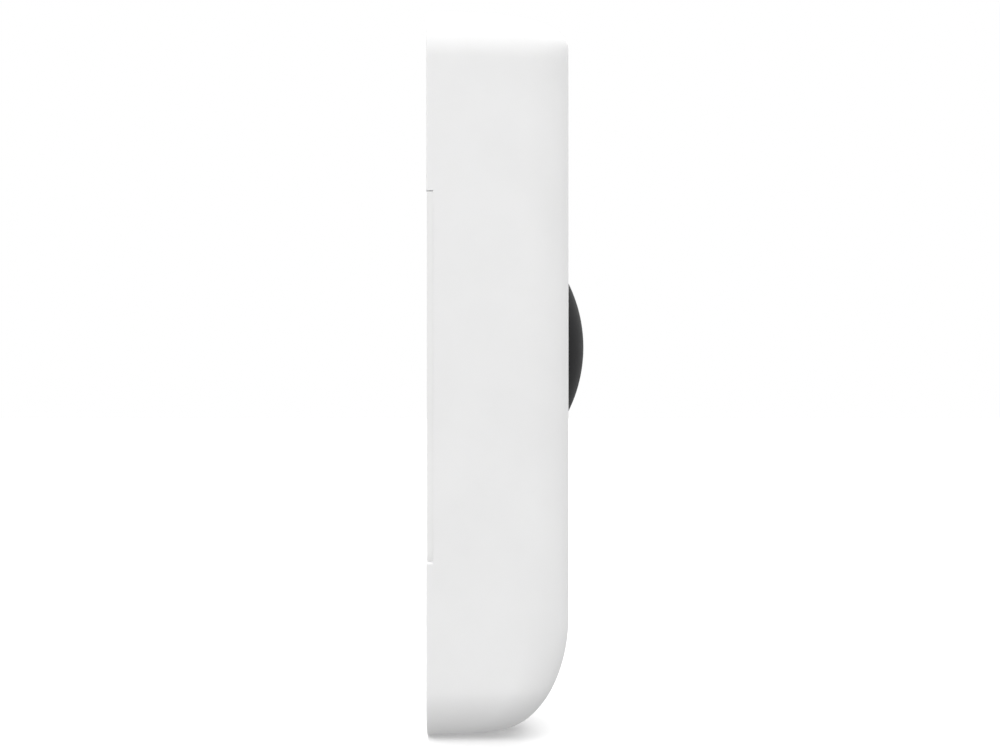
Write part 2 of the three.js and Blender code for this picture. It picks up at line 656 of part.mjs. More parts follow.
part("supercapacitor", supercapacitor(), ALUMINIUM);
part(
  "reset_switch",
  joined(chip(RESET.x, RESET.z, 4.4, 4.4, 6.4, 7.95), disc(RESET.x, RESET.z, 1, 5.65, 6.5, 12)),
  STEEL,
);
part(
  "reset_button",
  turned([[0, 3], [1.6, 3], [1.7, 3.1], [1.7, 4.6], [2.5, 4.6], [2.5, 5.2], [0, 5.2]], RESET.x, RESET.z, 16),
  DARK_PLASTIC,
);

const SIDES = { left: -1, right: 1 };
for (const [side, sign] of Object.entries(SIDES)) {
  const x = sign * TERMINAL.x;
  const post = [[1.4, 4.6], [3.2, 4.6], [3.2, 5.15], [2.3, 5.15], [2.3, 7.9], [1.8, 7.9], [1.8, 9.2], [1.4, 9.2]];
  part("terminal_post_" + side, ring(post, x, TERMINAL.z, 20), BRASS);
  part(
    "terminal_washer_" + side,
    chip(x, TERMINAL.z, 6.6, 6.6, 3.8, 4.55).subtract(disc(x, TERMINAL.z, 1.45, 3, 5, 12)),
    BRASS,
  );
  const head = [[0, 2], [2.5, 2], [2.8, 2.3], [2.8, 3.75], [1.25, 3.75], [1.25, 8.6], [0, 8.9]];
  const slot = block([x - 3.5, x + 3.5], [1.5, 2.9], [TERMINAL.z - 0.4, TERMINAL.z + 0.4]);
  part("terminal_screw_" + side, turned(head, x, TERMINAL.z, 20).subtract(slot), STEEL);
}

// ---- fasteners ----

for (const [place, [x, z]] of Object.entries(HOUSING_SCREWS)) {
  const head = [[0, 3.4], [0.8, 3.4], [0.8, 3], [1.7, 3], [1.9, 3.2], [1.9, 4.15]];
  const profile = [...head, [0.95, 4.15], [0.95, 14], [0, 14.4]];
  part("housing_screw_" + place, turned(profile, x, z, 14), STEEL);
}

const socket = LOCK.seat - 2;
part(
  "security_screw",
  upright([[0, socket + 1.1], [0.9, socket + 1.1], [0.9, socket], [2.1, socket], [2.3, socket + 0.2],
    [2.3, LOCK.seat - 0.45], [1.2, LOCK.seat - 0.45], [1.2, -51], [0, -50.6]], 0, LOCK.depth, 20),
  STEEL,
);
part(
  "security_washer",
  upright([[1.4, LOCK.seat - 0.4], [2.6, LOCK.seat - 0.4], [2.6, LOCK.seat - 0.05], [1.4, LOCK.seat - 0.05],
    [1.4, LOCK.seat - 0.4]], 0, LOCK.depth, 20),
  RUBBER,
);
part(
  "security_nut",
  block([-2.7, 2.7], [LOCK.depth - 2.7, LOCK.depth + 2.7], [-53.3, -51.3]).subtract(
    upright([[0, -56], [1.35, -56], [1.35, -49], [0, -49]], 0, LOCK.depth),
  ),
  BRASS,
);

export default doorbell;
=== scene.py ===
"""A slim wired video doorbell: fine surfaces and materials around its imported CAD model.

Shapes are written in millimetres as (x, depth, z), where depth is the distance in front of the wall,
and made() turns them into Blender's metres.
"""
import json
import math

import bmesh
import bpy
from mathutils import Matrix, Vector


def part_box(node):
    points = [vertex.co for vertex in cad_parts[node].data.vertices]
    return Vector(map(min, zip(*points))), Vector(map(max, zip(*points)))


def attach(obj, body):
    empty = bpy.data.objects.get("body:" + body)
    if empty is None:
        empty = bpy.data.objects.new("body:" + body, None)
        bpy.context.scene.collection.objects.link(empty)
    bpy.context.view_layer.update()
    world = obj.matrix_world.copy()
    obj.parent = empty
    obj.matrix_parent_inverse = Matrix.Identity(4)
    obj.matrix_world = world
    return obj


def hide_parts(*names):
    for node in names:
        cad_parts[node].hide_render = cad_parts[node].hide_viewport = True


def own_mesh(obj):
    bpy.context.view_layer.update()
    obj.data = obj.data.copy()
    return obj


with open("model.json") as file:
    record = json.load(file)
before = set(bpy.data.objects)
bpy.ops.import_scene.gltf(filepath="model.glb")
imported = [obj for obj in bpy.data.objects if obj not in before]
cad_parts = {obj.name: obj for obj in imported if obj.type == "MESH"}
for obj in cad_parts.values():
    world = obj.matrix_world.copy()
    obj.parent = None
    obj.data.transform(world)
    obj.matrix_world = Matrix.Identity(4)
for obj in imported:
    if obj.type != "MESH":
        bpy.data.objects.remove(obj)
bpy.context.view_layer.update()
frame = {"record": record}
scene = bpy.context.scene

MM = 0.001

# ---- sizes shared with the CAD model ----

cover_low, cover_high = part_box("front_cover")
HALF_HEIGHT = cover_high.z / MM
HALF_WIDTH = cover_high.x / MM
DEPTH = -cover_low.y / MM
CORNER = 8
TOP_CURVE = (5.9, 11.4)  # rise and run of the quarter ellipse over each end of the face
BOTTOM_CURVE = (19.3, 13.2)
SIDE_CURVE = (4.2, 7)
SIDE_TAPER = 0.03
COVER_SKIN = 1.7
FRAME_INSET = 2.0
INNER_INSET = 3.4
PARTING = 9.6
FRAME_START = 10.3

CAMERA_Z = 4.5
BUTTON_Z = -30
MOTION_Z = 34
MICROPHONE_Z = 43.5
TERMINAL_X = 8
TERMINAL_Z = -17.5
SPEAKER_Z = -48.4
LOCK_DEPTH = 6.2


# ---- node tools ----

def set_inputs(node, values):
    for name, value in values.items():
        node.inputs[name].default_value = value
    return node


def add_node(tree, kind, inputs=None, **settings):
    """A shader node with some of its settings and its input values."""
    node = tree.nodes.new("ShaderNode" + kind)
    for name, value in settings.items():
        setattr(node, name, value)
    return set_inputs(node, inputs or {})


def wire(tree, *links):
    for source, target in links:
        tree.links.new(source, target)


def ramp(tree, source, *stops):
    """A colour ramp on a source, from (position, colour) stops."""
    node = add_node(tree, "ValToRGB")
    elements = node.color_ramp.elements
    while len(elements) < len(stops):
        elements.new(0.5)
    for element, (position, color) in zip(elements, stops):
        element.position = position
        element.color = (*color, 1)
    wire(tree, (source, node.inputs["Fac"]))
    return node.outputs["Color"]


def spread(tree, source, low, high, **limits):
    """A source from 0 to 1 mapped to a range."""
    node = add_node(tree, "MapRange", {"To Min": low, "To Max": high, **limits})
    wire(tree, (source, node.inputs["Value"]))
    return node.outputs["Result"]


def mixed(tree, share, first, second, output):
    """Two shaders mixed by a share and linked to the tree's output."""
    mix = add_node(tree, "MixShader")
    wire(tree, (share, mix.inputs["Fac"]),
         (first.outputs[0], mix.inputs[1]), (second.outputs[0], mix.inputs[2]),
         (mix.outputs[0], tree.nodes[output].inputs["Surface"]))


def grey(value):
    return (value, value, value)


def new_material(name, color, roughness, metallic=0.0):
    material = bpy.data.materials.new(name)
    material.use_nodes = True
    surface = material.node_tree.nodes["Principled BSDF"]
    set_inputs(surface, {"Base Color": (*color, 1), "Roughness": roughness, "Metallic": metallic})
    return material, material.node_tree, surface


# ---- camera, light and floor ----

CAMERA_PLACE = (-0.430, -0.01197, -0.0002)
CAMERA_LENS = 91
LIGHT_STRENGTH = 2.59
SKY_LOW, SKY_HIGH = 0.5, 0.775  # light at the horizon and overhead
SKY_FRONT, SKY_BACK = 0.53, 0.65  # the share of it left in front of and behind the doorbell
FLOOR_GREY = (0.1, 0.95)  # the floor's reflectance as the doorbell and as the camera see it
FLOOR_GLOW = (0.39, 0.07)  # the floor's own light, likewise
FLOOR_REACH = 3  # metres
FLOOR_GAP = 0.00005  # metres under the doorbell


def place_camera():
    """A level camera that looks square at the doorbell's left side, as far off as a close product shot."""
    data = bpy.data.cameras.new("camera")
    data.lens = CAMERA_LENS
    data.sensor_width = 36
    data.clip_start = 0.01
    data.clip_end = 20
    camera = bpy.data.objects.new("camera", data)
    scene.collection.objects.link(camera)
    camera.location = CAMERA_PLACE
    camera.rotation_euler = (math.radians(90), 0, math.radians(-90))
    scene.camera = camera


def light_world():
    """A white backdrop that lights the doorbell most from above and the sides, and least from the front."""
    world = bpy.data.worlds.new("studio")
    scene.world = world
    world.use_nodes = True
    tree = world.node_tree
    place, axes, ray = (add_node(tree, kind) for kind in ("TexCoord", "SeparateXYZ", "LightPath"))
    wire(tree, (place.outputs["Generated"], axes.inputs[0]))
    from_above = ramp(tree, axes.outputs["Z"], (0.0, grey(SKY_LOW)), (1.0, grey(SKY_HIGH)))
    along = spread(tree, axes.outputs["Y"], 0, 1, **{"From Min": -1})
    from_front = ramp(tree, along, (0.0, grey(SKY_FRONT)), (0.6, grey(1)), (1.0, grey(SKY_BACK)))
    product = add_node(tree, "VectorMath", operation="MULTIPLY")
    lighting = set_inputs(tree.nodes["Background"], {"Strength": LIGHT_STRENGTH})
    backdrop = add_node(tree, "Background", {"Color": (1, 1, 1, 1)})
    wire(tree, (from_above, product.inputs[0]), (from_front, product.inputs[1]),
         (product.outputs[0], lighting.inputs["Color"]))
    mixed(tree, ray.outputs["Is Camera Ray"], lighting, backdrop, "World Output")


def lay_floor():
    """A large pale floor under the doorbell. Seen from below it is clear, so it never hides the object."""
    mesh = bpy.data.meshes.new("floor")
    level = cover_low.z - FLOOR_GAP
    corners = [(x * FLOOR_REACH, y * FLOOR_REACH, level) for x, y in ((-1, -1), (1, -1), (1, 1), (-1, 1))]
    mesh.from_pydata(corners, [], [(0, 1, 2, 3)])
    floor = bpy.data.objects.new("floor", mesh)
    scene.collection.objects.link(floor)
    material, tree, surface = new_material("floor", grey(0.8), 0.3)
    set_inputs(surface, {"Emission Color": (1, 1, 1, 1)})
    side, clear, ray = (add_node(tree, kind) for kind in ("NewGeometry", "BsdfTransparent", "LightPath"))
    for pair, socket in ((FLOOR_GREY, "Base Color"), (FLOOR_GLOW, "Emission Strength")):
        wire(tree, (spread(tree, ray.outputs["Is Camera Ray"], *pair), surface.inputs[socket]))
    mixed(tree, side.outputs["Backfacing"], surface, clear, "Material Output")
    mesh.materials.append(material)


place_camera()
light_world()
lay_floor()
scene.view_settings.view_transform = "Standard"


# ---- shape tools ----

def made(name, points, faces):
    """A mesh object from points (x, depth, z) in millimetres, its faces turned to face out."""
    bm = bmesh.new()
    verts = [bm.verts.new((x * MM, -f * MM, z * MM)) for x, f, z in points]
    for face in faces:
        bm.faces.new([verts[i] for i in face])
    bmesh.ops.recalc_face_normals(bm, faces=bm.faces)
    mesh = bpy.data.meshes.new(name)
    bm.to_mesh(mesh)
    bm.free()
    obj = bpy.data.objects.new(name, mesh)
    scene.collection.objects.link(obj)
    return obj


def strips(rows, closed):
    """Quads between neighbouring rows of equal length, whose points are numbered row by row."""
    count = len(rows[0])
    faces = []
    for r in range(len(rows) - 1):
        for i in range(count if closed else count - 1):
            a, b = r * count + i, r * count + (i + 1) % count
            faces.append((a, b, b + count, a + count))
    return faces


def lofted(name, rows):
    """A closed solid through rows of points, each row a closed ring, with its two ends filled."""
    points = [p for row in rows for p in row]
    count = len(rows[0])
    ends = [tuple(range(count)), tuple(range(len(points) - count, len(points)))]
    return made(name, points, strips(rows, True) + ends)


def slab(outline, f0, f1):
    """An outline of (x, z) between two depths."""
    return lofted("slab", [[(x, f, z) for x, z in outline] for f in (f0, f1)])


def panel(x0, x1, z0, z1, radius, f0, f1, steps=10):
    """A plate with rounded corners between two depths."""
    return slab(rounded_rectangle(x0, x1, z0, z1, radius, steps), f0, f1)


def block(xs, fs, zs):
    (x0, x1), (z0, z1) = xs, zs
    return slab([(x0, z0), (x1, z0), (x1, z1), (x0, z1)], *fs)


def chip(x, z, width, height, f0, f1):
    return block((x - width / 2, x + width / 2), (f0, f1), (z - height / 2, z + height / 2))


def turned(name, profile, x=0.0, z=0.0, segments=96, middle_f=None):
    """A profile of (radius, depth) turned round an axis that points at the wall.

    With middle_f the profile is (radius, z) instead and turns round an upright axis at that depth.
    It starts and ends on the axis, or else it is the outline of a ring.
    """
    def spin(radius, along, angle):
        a, b = radius * math.cos(angle), radius * math.sin(angle)
        return (x + a, along, z + b) if middle_f is None else (x + a, middle_f + b, along)

    points, rings = [], []
    for radius, along in profile:
        if radius < 1e-6:
            rings.append([len(points)])
            points.append(spin(0, along, 0))
        else:
            rings.append(list(range(len(points), len(points) + segments)))
            points += [spin(radius, along, 2 * math.pi * i / segments) for i in range(segments)]
    pairs = list(zip(rings, rings[1:]))
    if len(rings[0]) > 1 and len(rings[-1]) > 1:
        pairs.append((rings[-1], rings[0]))
    faces = []
    for a, b in pairs:
        for i in range(segments):
            j = (i + 1) % segments
            if len(a) > 1 and len(b) > 1:
                faces.append((a[i], a[j], b[j], b[i]))
            elif len(a) > 1:
                faces.append((a[i], a[j], b[0]))
            elif len(b) > 1:
                faces.append((a[0], b[j], b[i]))
    return made(name, points, faces)


def disc(x, z, radius, f0, f1, segments=64):
    return turned("disc", [(0, f0), (radius, f0), (radius, f1), (0, f1)], x, z, segments)


def discs(places, radius, f0, f1, segments=64):
    return [disc(x, z, radius, f0, f1, segments) for x, z in places]


def rounded_rectangle(x0, x1, z0, z1, radius, steps=10):
    corners = [(x1, z0, -90), (x1, z1, 0), (x0, z1, 90), (x0, z0, 180)]
    points = []
    for x, z, start in corners:
        cx = x - radius if x == x1 else x + radius
        cz = z - radius if z == z1 else z + radius
        for i in range(steps + 1):
            angle = math.radians(start + 90 * i / steps)
            points.append((cx + radius * math.cos(angle), cz + radius * math.sin(angle)))
    return points


def around(radius, degrees):
    angle = math.radians(degrees)
    return radius * math.cos(angle), radius * math.sin(angle)


def eased_corners(profile, radius, closed, steps=4):
    """The profile with each corner that turns by more than 30 degrees replaced by a small arc."""
    count = len(profile)
    eased = []
    for i, point in enumerate(profile):
        here = Vector(point)
        if not closed and i in (0, count - 1):
            eased.append(point)
            continue
        before = Vector(profile[i - 1]) - here
        after = Vector(profile[(i + 1) % count]) - here
        turn = math.pi - before.angle(after)
        if turn < math.radians(30):
            eased.append(point)
            continue
        reach = min(radius * math.tan(turn / 2), before.length * 0.4, after.length * 0.4)
        start, end = here + before.normalized() * reach, here + after.normalized() * reach
        for k in range(steps + 1):
            t = k / steps
            curve = start * (1 - t) ** 2 + here * 2 * t * (1 - t) + end * t * t
            eased.append((max(curve.x, 0), curve.y))
    return eased


def settled(obj):
    """Replaces an object's mesh by what its modifiers make of it."""
    bpy.context.view_layer.update()
    mesh = bpy.data.meshes.new_from_object(obj.evaluated_get(bpy.context.evaluated_depsgraph_get()))
    obj.modifiers.clear()
    obj.data = mesh
    return obj


def cleaned(obj, reach=2e-6):
    """Merges points that all but touch, drops what that leaves without area, and closes small gaps."""
    bm = bmesh.new()
    bm.from_mesh(obj.data)
    bmesh.ops.remove_doubles(bm, verts=bm.verts, dist=reach)
    bmesh.ops.dissolve_degenerate(bm, edges=bm.edges, dist=reach)
    bmesh.ops.holes_fill(bm, edges=[edge for edge in bm.edges if edge.is_boundary], sides=8)
    bm.to_mesh(obj.data)
    bm.free()
    return obj


def combined(obj, operation, tools):
    for tool in tools:
        step = obj.modifiers.new(operation, "BOOLEAN")
        step.operation = operation
        step.solver = "EXACT"
        step.object = tool
    settled(obj)
    for tool in tools:
        bpy.data.objects.remove(tool)
    return cleaned(obj)


def cut(obj, *tools):
    return combined(obj, "DIFFERENCE", tools)


def joined(obj, *others):
    return combined(obj, "UNION", others)


def rounded_edges(obj, width, segments=2, angle=40):
    """Rounds every sharp edge by a small radius."""
    edge = obj.modifiers.new("edge", "BEVEL")
    edge.width = width * MM
    edge.segments = segments
    edge.limit_method = "ANGLE"
    edge.angle_limit = math.radians(angle)
    edge.use_clamp_overlap = True
    return obj


def smoothed(obj, angle=35):
    """Smooth shading with crisp edges past an angle, weighted so that flat faces stay flat."""
    cleaned(settled(obj), 1e-6)
    obj.data.shade_smooth()
    obj.data.set_sharp_from_angle(angle=math.radians(angle))
    weighted = obj.modifiers.new("normals", "WEIGHTED_NORMAL")
    weighted.keep_sharp = True
    return settled(obj)


# ---- the body's outer form ----

def leaned(x, f, z):
    """The outer walls lean in towards the front by the same distance on every side."""
    return x * (1 - SIDE_TAPER * f / HALF_WIDTH), f, z * (1 - SIDE_TAPER * f / HALF_HEIGHT)


def fall_back(rise, run, from_end):
    if from_end >= rise:
        return 0.0
    return run * (1 - math.sqrt(max(0.0, 1 - ((rise - max(from_end, 0)) / rise) ** 2)))


def face_depth(x, z, inset):
    """Depth of the front surface over a point of the plan, with the whole form moved in by inset."""
    rise, run = TOP_CURVE if z > 0 else BOTTOM_CURVE
    from_end = HALF_HEIGHT - inset - abs(z)
    half_width = HALF_WIDTH - inset - fall_back(CORNER - inset, CORNER - inset, from_end)
    over_end = fall_back(rise - inset, run - inset, from_end)
    over_side = fall_back(SIDE_CURVE[0] - inset * 0.6, SIDE_CURVE[1] - inset, half_width - abs(x))
    return DEPTH - inset - over_end - over_side


def plan_ring(half_width, half_height, radius, across=24, up=72, arc=16):
    """Evenly numbered points round a rounded rectangle, so that rings of any size match up."""
    w, h = half_width - radius, half_height - radius
    points = []
    sides = [((-w, -half_height), (w, -half_height), across), ((half_width, -h), (half_width, h), up),
             ((w, half_height), (-w, half_height), across), ((-half_width, h), (-half_width, -h), up)]
    centres = [(w, -h), (w, h), (-w, h), (-w, -h)]
    for k, ((x0, z0), (x1, z1), count) in enumerate(sides):
        points += [(x0 + (x1 - x0) * i / count, z0 + (z1 - z0) * i / count) for i in range(count)]
        cx, cz = centres[k]
        for i in range(arc):
            dx, dz = around(radius, -90 + 90 * k + 90 * i / arc)
            points.append((cx + dx, cz + dz))
    return points


def skin(inset, rings=48):
    """Rows of points over the form's face, from its middle out to the top of its side walls."""
    half_width, half_height, corner = HALF_WIDTH - inset, HALF_HEIGHT - inset, CORNER - inset
    reach = half_width - 0.2
    rows = []
    for k in range(rings, -1, -1):
        d = reach * (1 - math.cos(math.pi / 2 * k / rings))
        ring = plan_ring(half_width - d, half_height - d, corner * (1 - d / half_width))
        rows.append([(x, face_depth(x, z, inset), z) for x, z in ring])
    return rows


def walls(edge, foot, rows):
    """Rows straight back from the edge of the face to a depth."""
    return [[(x, f + (foot - f) * j / rows, z) for x, f, z in edge] for j in range(1, rows + 1)]


def rim_row(inset, depth):
    ring = plan_ring(HALF_WIDTH - inset, HALF_HEIGHT - inset, CORNER - inset)
    return [(x, depth, z) for x, z in ring]


def lean_rows(rows):
    return [[leaned(*p) for p in row] for row in rows]


def form(inset, rings=48):
    """The form as a closed solid from the wall to its face."""
    rows = skin(inset, rings)
    return lofted("form", lean_rows(rows + walls(rows[-1], 0, 4)))


def open_shell(name, outer, inner, start):
    """A closed skin between two insets of the form, open at the back, with its rim rounded."""
    outside, inside = skin(outer), skin(inner, 36)
    outside += walls(outside[-1], start + 0.3, 6)
    inside += walls(inside[-1], start + 0.2, 4)
    bend = [(outer + 0.03, 0.16), (outer + 0.1, 0.05), (outer + 0.25, 0), (inner - 0.2, 0),
            (inner - 0.05, 0.05)]
    rim = [rim_row(inset, start + ahead) for inset, ahead in bend]
    return lofted(name, lean_rows(outside + rim + inside[::-1]))


def body_slab(inset, f0, f1, ease=0):
    """The form's outline seen from the front, between two depths, with its rims rounded by ease."""
    return lofted("slab", lean_rows([rim_row(inset + shrink, f) for f, shrink in eased_rims(f0, f1, ease)]))


def eased_rims(f0, f1, ease, steps=3):
    """The depths and insets of the rows of a slab whose two rims are rounded."""
    if not ease:
        return [(f0, 0), (f1, 0)]
    curve = [math.radians(90 * k / steps) for k in range(steps + 1)]
    rows = [(f1 - ease * (1 - math.sin(a)), ease * (1 - math.cos(a))) for a in curve]
    return [(f0 + f1 - f, shrink) for f, shrink in rows[::-1]] + rows


def lipped_hole(x, z, radius, lip):
    """A cutter for a round hole through the face whose front edge is rounded."""
    profile = [(0, 14), (radius, 14)]
    for k in range(7):
        angle = math.radians(180 - 82 * k / 6)
        profile.append((radius + lip + lip * math.cos(angle), DEPTH - lip + lip * math.sin(angle)))
    profile += [(radius + lip + 0.4, DEPTH + 1), (0, DEPTH + 1)]
    return turned("hole", profile, x, z)


def long_hole(x, f0, f1, half_width, z0, z1):
    """An upright cutter with round ends, for the speaker slots."""
    outline = []
    for centre, start in ((f0 + half_width, 180), (f1 - half_width, 0)):
        for k in range(9):
            dx, df = around(half_width, start + 180 * k / 8)
            outline.append((x + dx, centre + df))
    return lofted("slot", [[(px, pf, z) for px, pf in outline] for z in (z0, z1)])


# ---- materials ----

def noise(tree, scale, detail=2.0, stretch=None):
    """A noise texture in the object's own space, scale being spots per metre."""
    texture = add_node(tree, "TexNoise", {"Scale": scale, "Detail": detail})
    place = add_node(tree, "TexCoord").outputs["Object"]
    if stretch:
        mapping = add_node(tree, "Mapping", {"Scale": stretch})
        wire(tree, (place, mapping.inputs["Vector"]))
        place = mapping.outputs["Vector"]
    wire(tree, (place, texture.inputs["Vector"]))
    return texture.outputs["Fac"]


def vary_roughness(tree, surface, source, low, high):
    wire(tree, (spread(tree, source, low, high), surface.inputs["Roughness"]))


def vary_color(tree, surface, source, dark, light):
    wire(tree, (ramp(tree, source, (0.35, dark), (0.65, light)), surface.inputs["Base Color"]))


def add_bump(tree, surface, source, depth_mm, strength=1.0):
    bump = add_node(tree, "Bump", {"Strength": strength, "Distance": depth_mm * MM})
    wire(tree, (source, bump.inputs["Height"]), (bump.outputs["Normal"], surface.inputs["Normal"]))


def moulded(name, dark, light, roughness, grain_mm, depth_mm, **scatter):
    """Moulded plastic: a fine spark-eroded grain, slight unevenness of gloss and of colour."""
    material, tree, surface = new_material(name, light, roughness[0])
    vary_color(tree, surface, noise(tree, 90, 3), dark, light)
    vary_roughness(tree, surface, noise(tree, 400, 4), *roughness)
    add_bump(tree, surface, noise(tree, 1000 / grain_mm, 2), depth_mm)
    set_inputs(surface, {"Subsurface " + key.capitalize(): value for key, value in scatter.items()})
    return material


def brushed(name, color, roughness, direction, grain=0.004):
    """Metal with fine parallel marks along one axis."""
    material, tree, surface = new_material(name, color, roughness[0], 1.0)
    streaks = noise(tree, 9000, 3, stretch=direction)
    vary_roughness(tree, surface, streaks, *roughness)
    vary_color(tree, surface, streaks, tuple(c * 0.86 for c in color), color)
    add_bump(tree, surface, streaks, grain, 0.5)
    return material


def glassy(name, color, roughness, **values):
    """A clear or coated surface with faint unevenness."""
    material, tree, surface = new_material(name, color, roughness[0])
    set_inputs(surface, {key.replace("_", " "): value for key, value in values.items()})
    vary_roughness(tree, surface, noise(tree, 900, 2), *roughness)
    return material


def make_dome_black():
    """Satin infrared-passing plastic, all but black, and clearer when seen straight in front of the lens."""
    material, tree, surface = new_material("dome_black", (0.02, 0.02, 0.021), 0.46)
    set_inputs(surface, {"IOR": 1.35, "Specular IOR Level": 0.05})
    place = add_node(tree, "TexCoord")
    offset = add_node(tree, "VectorMath", {1: (0, 0, CAMERA_Z * MM)}, operation="SUBTRACT")
    flat = add_node(tree, "VectorMath", {1: (1, 0, 1)}, operation="MULTIPLY")
    reach = add_node(tree, "VectorMath", operation="LENGTH")
    slant = add_node(tree, "LayerWeight", {"Blend": 0.75})
    densest = add_node(tree, "Math", operation="MAXIMUM")
    wire(tree, (place.outputs["Object"], offset.inputs[0]), (offset.outputs[0], flat.inputs[0]),
         (flat.outputs[0], reach.inputs[0]))
    window = spread(tree, reach.outputs["Value"], 0.35, 1.0, **{"From Min": 5.3 * MM, "From Max": 5.6 * MM})
    wire(tree, (window, densest.inputs[0]), (slant.outputs["Facing"], densest.inputs[1]),
         (densest.outputs[0], surface.inputs["Alpha"]))
    vary_roughness(tree, surface, noise(tree, 700, 3), 0.44, 0.5)
    return material


def tracks(tree, place, turn):
    """Long parallel copper tracks about half a millimetre apart, along X or turned to run along Z."""
    mapping = add_node(tree, "Mapping", {"Rotation": (math.radians(90), 0, math.radians(turn))})
    sizes = {"Scale": 1000, "Brick Width": 4.6, "Row Height": 0.52, "Mortar Size": 0.07, "Mortar Smooth": 0.2}
    colors = {"Color1": (*grey(1), 1), "Color2": (*grey(0.7), 1), "Mortar": (*grey(0), 1)}
    bricks = add_node(tree, "TexBrick", {**sizes, **colors}, offset=0.37)
    wire(tree, (place, mapping.inputs["Vector"]), (mapping.outputs["Vector"], bricks.inputs["Vector"]))
    return bricks.outputs["Color"]


def make_board(name="circuit_board", middle_f=0.0, reach=1.0):
    """Green solder mask over copper tracks. Parts soldered on, past reach from its middle, are dark."""
    material, tree, surface = new_material(name, (0.01, 0.06, 0.035), 0.3)
    place = add_node(tree, "TexCoord").outputs["Object"]
    regions = add_node(tree, "TexVoronoi", {"Scale": 170}, distance="CHEBYCHEV")
    copper, separate = add_node(tree, "MixRGB"), add_node(tree, "SeparateXYZ")
    on_board = add_node(tree, "Math", {1: -middle_f * MM, 2: reach}, operation="COMPARE")
    paint = add_node(tree, "MixRGB", {"Color1": (0.016, 0.016, 0.017, 1)})
    wire(tree, (place, regions.inputs["Vector"]), (place, separate.inputs[0]),
         (ramp(tree, regions.outputs["Color"], (0.49, grey(0)), (0.51, grey(1))), copper.inputs["Fac"]),
         (tracks(tree, place, 0), copper.inputs["Color1"]),
         (tracks(tree, place, 90), copper.inputs["Color2"]))
    laid = copper.outputs["Color"]
    green = ramp(tree, laid, (0.0, (0.006, 0.045, 0.024)), (1.0, (0.014, 0.082, 0.042)))
    wire(tree, (separate.outputs["Y"], on_board.inputs[0]), (on_board.outputs[0], paint.inputs["Fac"]),
         (green, paint.inputs["Color2"]), (paint.outputs["Color"], surface.inputs["Base Color"]))
    vary_roughness(tree, surface, laid, 0.4, 0.28)
    add_bump(tree, surface, laid, 0.015)
    return material


MAIN_BOARD = (12.6, 13.6)  # depths of each board's two faces
POWER_BOARD = (8, 9)
MASK_REACH = 0.52 * MM
# the CAD model's materials already hold most of these names, so Blender adds a number after a dot
LOOKS = {material.name.split(".")[0]: material for material in (
    moulded("shell_white", grey(0.845), grey(0.865), (0.33, 0.4), 0.16, 0.0016,
            weight=0.08, radius=(0.002, 0.002, 0.0018), scale=0.3),
    moulded("inner_white", (0.83, 0.83, 0.825), (0.86, 0.86, 0.855), (0.5, 0.6), 0.25, 0.004),
    moulded("inner_grey", (0.028, 0.028, 0.03), (0.036, 0.036, 0.038), (0.5, 0.62), 0.25, 0.006),
    moulded("diffuser", (0.84, 0.85, 0.87), (0.88, 0.89, 0.9), (0.3, 0.38), 0.12, 0.001,
            weight=0.5, radius=grey(0.003), scale=1.0),
    moulded("silicone", (0.6, 0.6, 0.58), (0.7, 0.7, 0.68), (0.45, 0.6), 0.3, 0.003,
            weight=0.4, radius=(0.003, 0.003, 0.002)),
    moulded("black_rubber", grey(0.014), grey(0.024), (0.7, 0.85), 0.2, 0.008),
    moulded("chip_black", (0.012, 0.012, 0.013), (0.02, 0.02, 0.021), (0.42, 0.55), 0.1, 0.004),
    make_dome_black(),
    glassy("lens_glass", (0.006, 0.007, 0.016), (0.03, 0.06),
           IOR=1.7, Thin_Film_Thickness=420, Thin_Film_IOR=1.38),
    glassy("lamp_clear", (0.8, 0.78, 0.86), (0.04, 0.09), Transmission_Weight=0.8),
    make_board(),
    make_board("main_board", sum(MAIN_BOARD) / 2, MASK_REACH),
    make_board("power_board", sum(POWER_BOARD) / 2, MASK_REACH),
    brushed("sheet_steel", (0.62, 0.61, 0.59), (0.22, 0.36), (1, 0.04, 0.04)),
    brushed("screw_steel", grey(0.5), (0.25, 0.4), (1, 0.2, 1)),
    brushed("brass", (0.7, 0.5, 0.22), (0.2, 0.36), (1, 0.1, 1)),
    brushed("copper", (0.72, 0.38, 0.22), (0.25, 0.4), (1, 0.1, 0.1)),
    brushed("aluminium", (0.72, 0.72, 0.73), (0.26, 0.42), (0.04, 1, 1)),
    brushed("aluminium_can", (0.6, 0.6, 0.62), (0.2, 0.3), (0.06, 1, 1)),
)}
SLOT_OF = {row["node"]: row["material_slot"] for row in frame["record"]["subparts"]}
BODY_OF = {node: body for body, group in frame["record"]["behaviour"]["bodies"].items() for node in group}


def dressed(obj, node):
    """The piece stands for a CAD node: same body, same slot, and the node's own look if there is one."""
    obj.name = node + "_fine"
    return attached(obj, BODY_OF[node], SLOT_OF[node], node)


def edged(obj, node, width=0.08):
    """Stands for a CAD node, with its edges rounded."""
    return dressed(smoothed(rounded_edges(obj, width, 2, 50)), node)


def attached(obj, body, slot, *replaced):
    look = replaced[0] if replaced and replaced[0] in LOOKS else slot
    obj.data.materials.clear()
    obj.data.materials.append(LOOKS[look])
    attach(obj, body)
    if replaced:
        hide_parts(*replaced)
    return obj


# ---- outer pieces ----

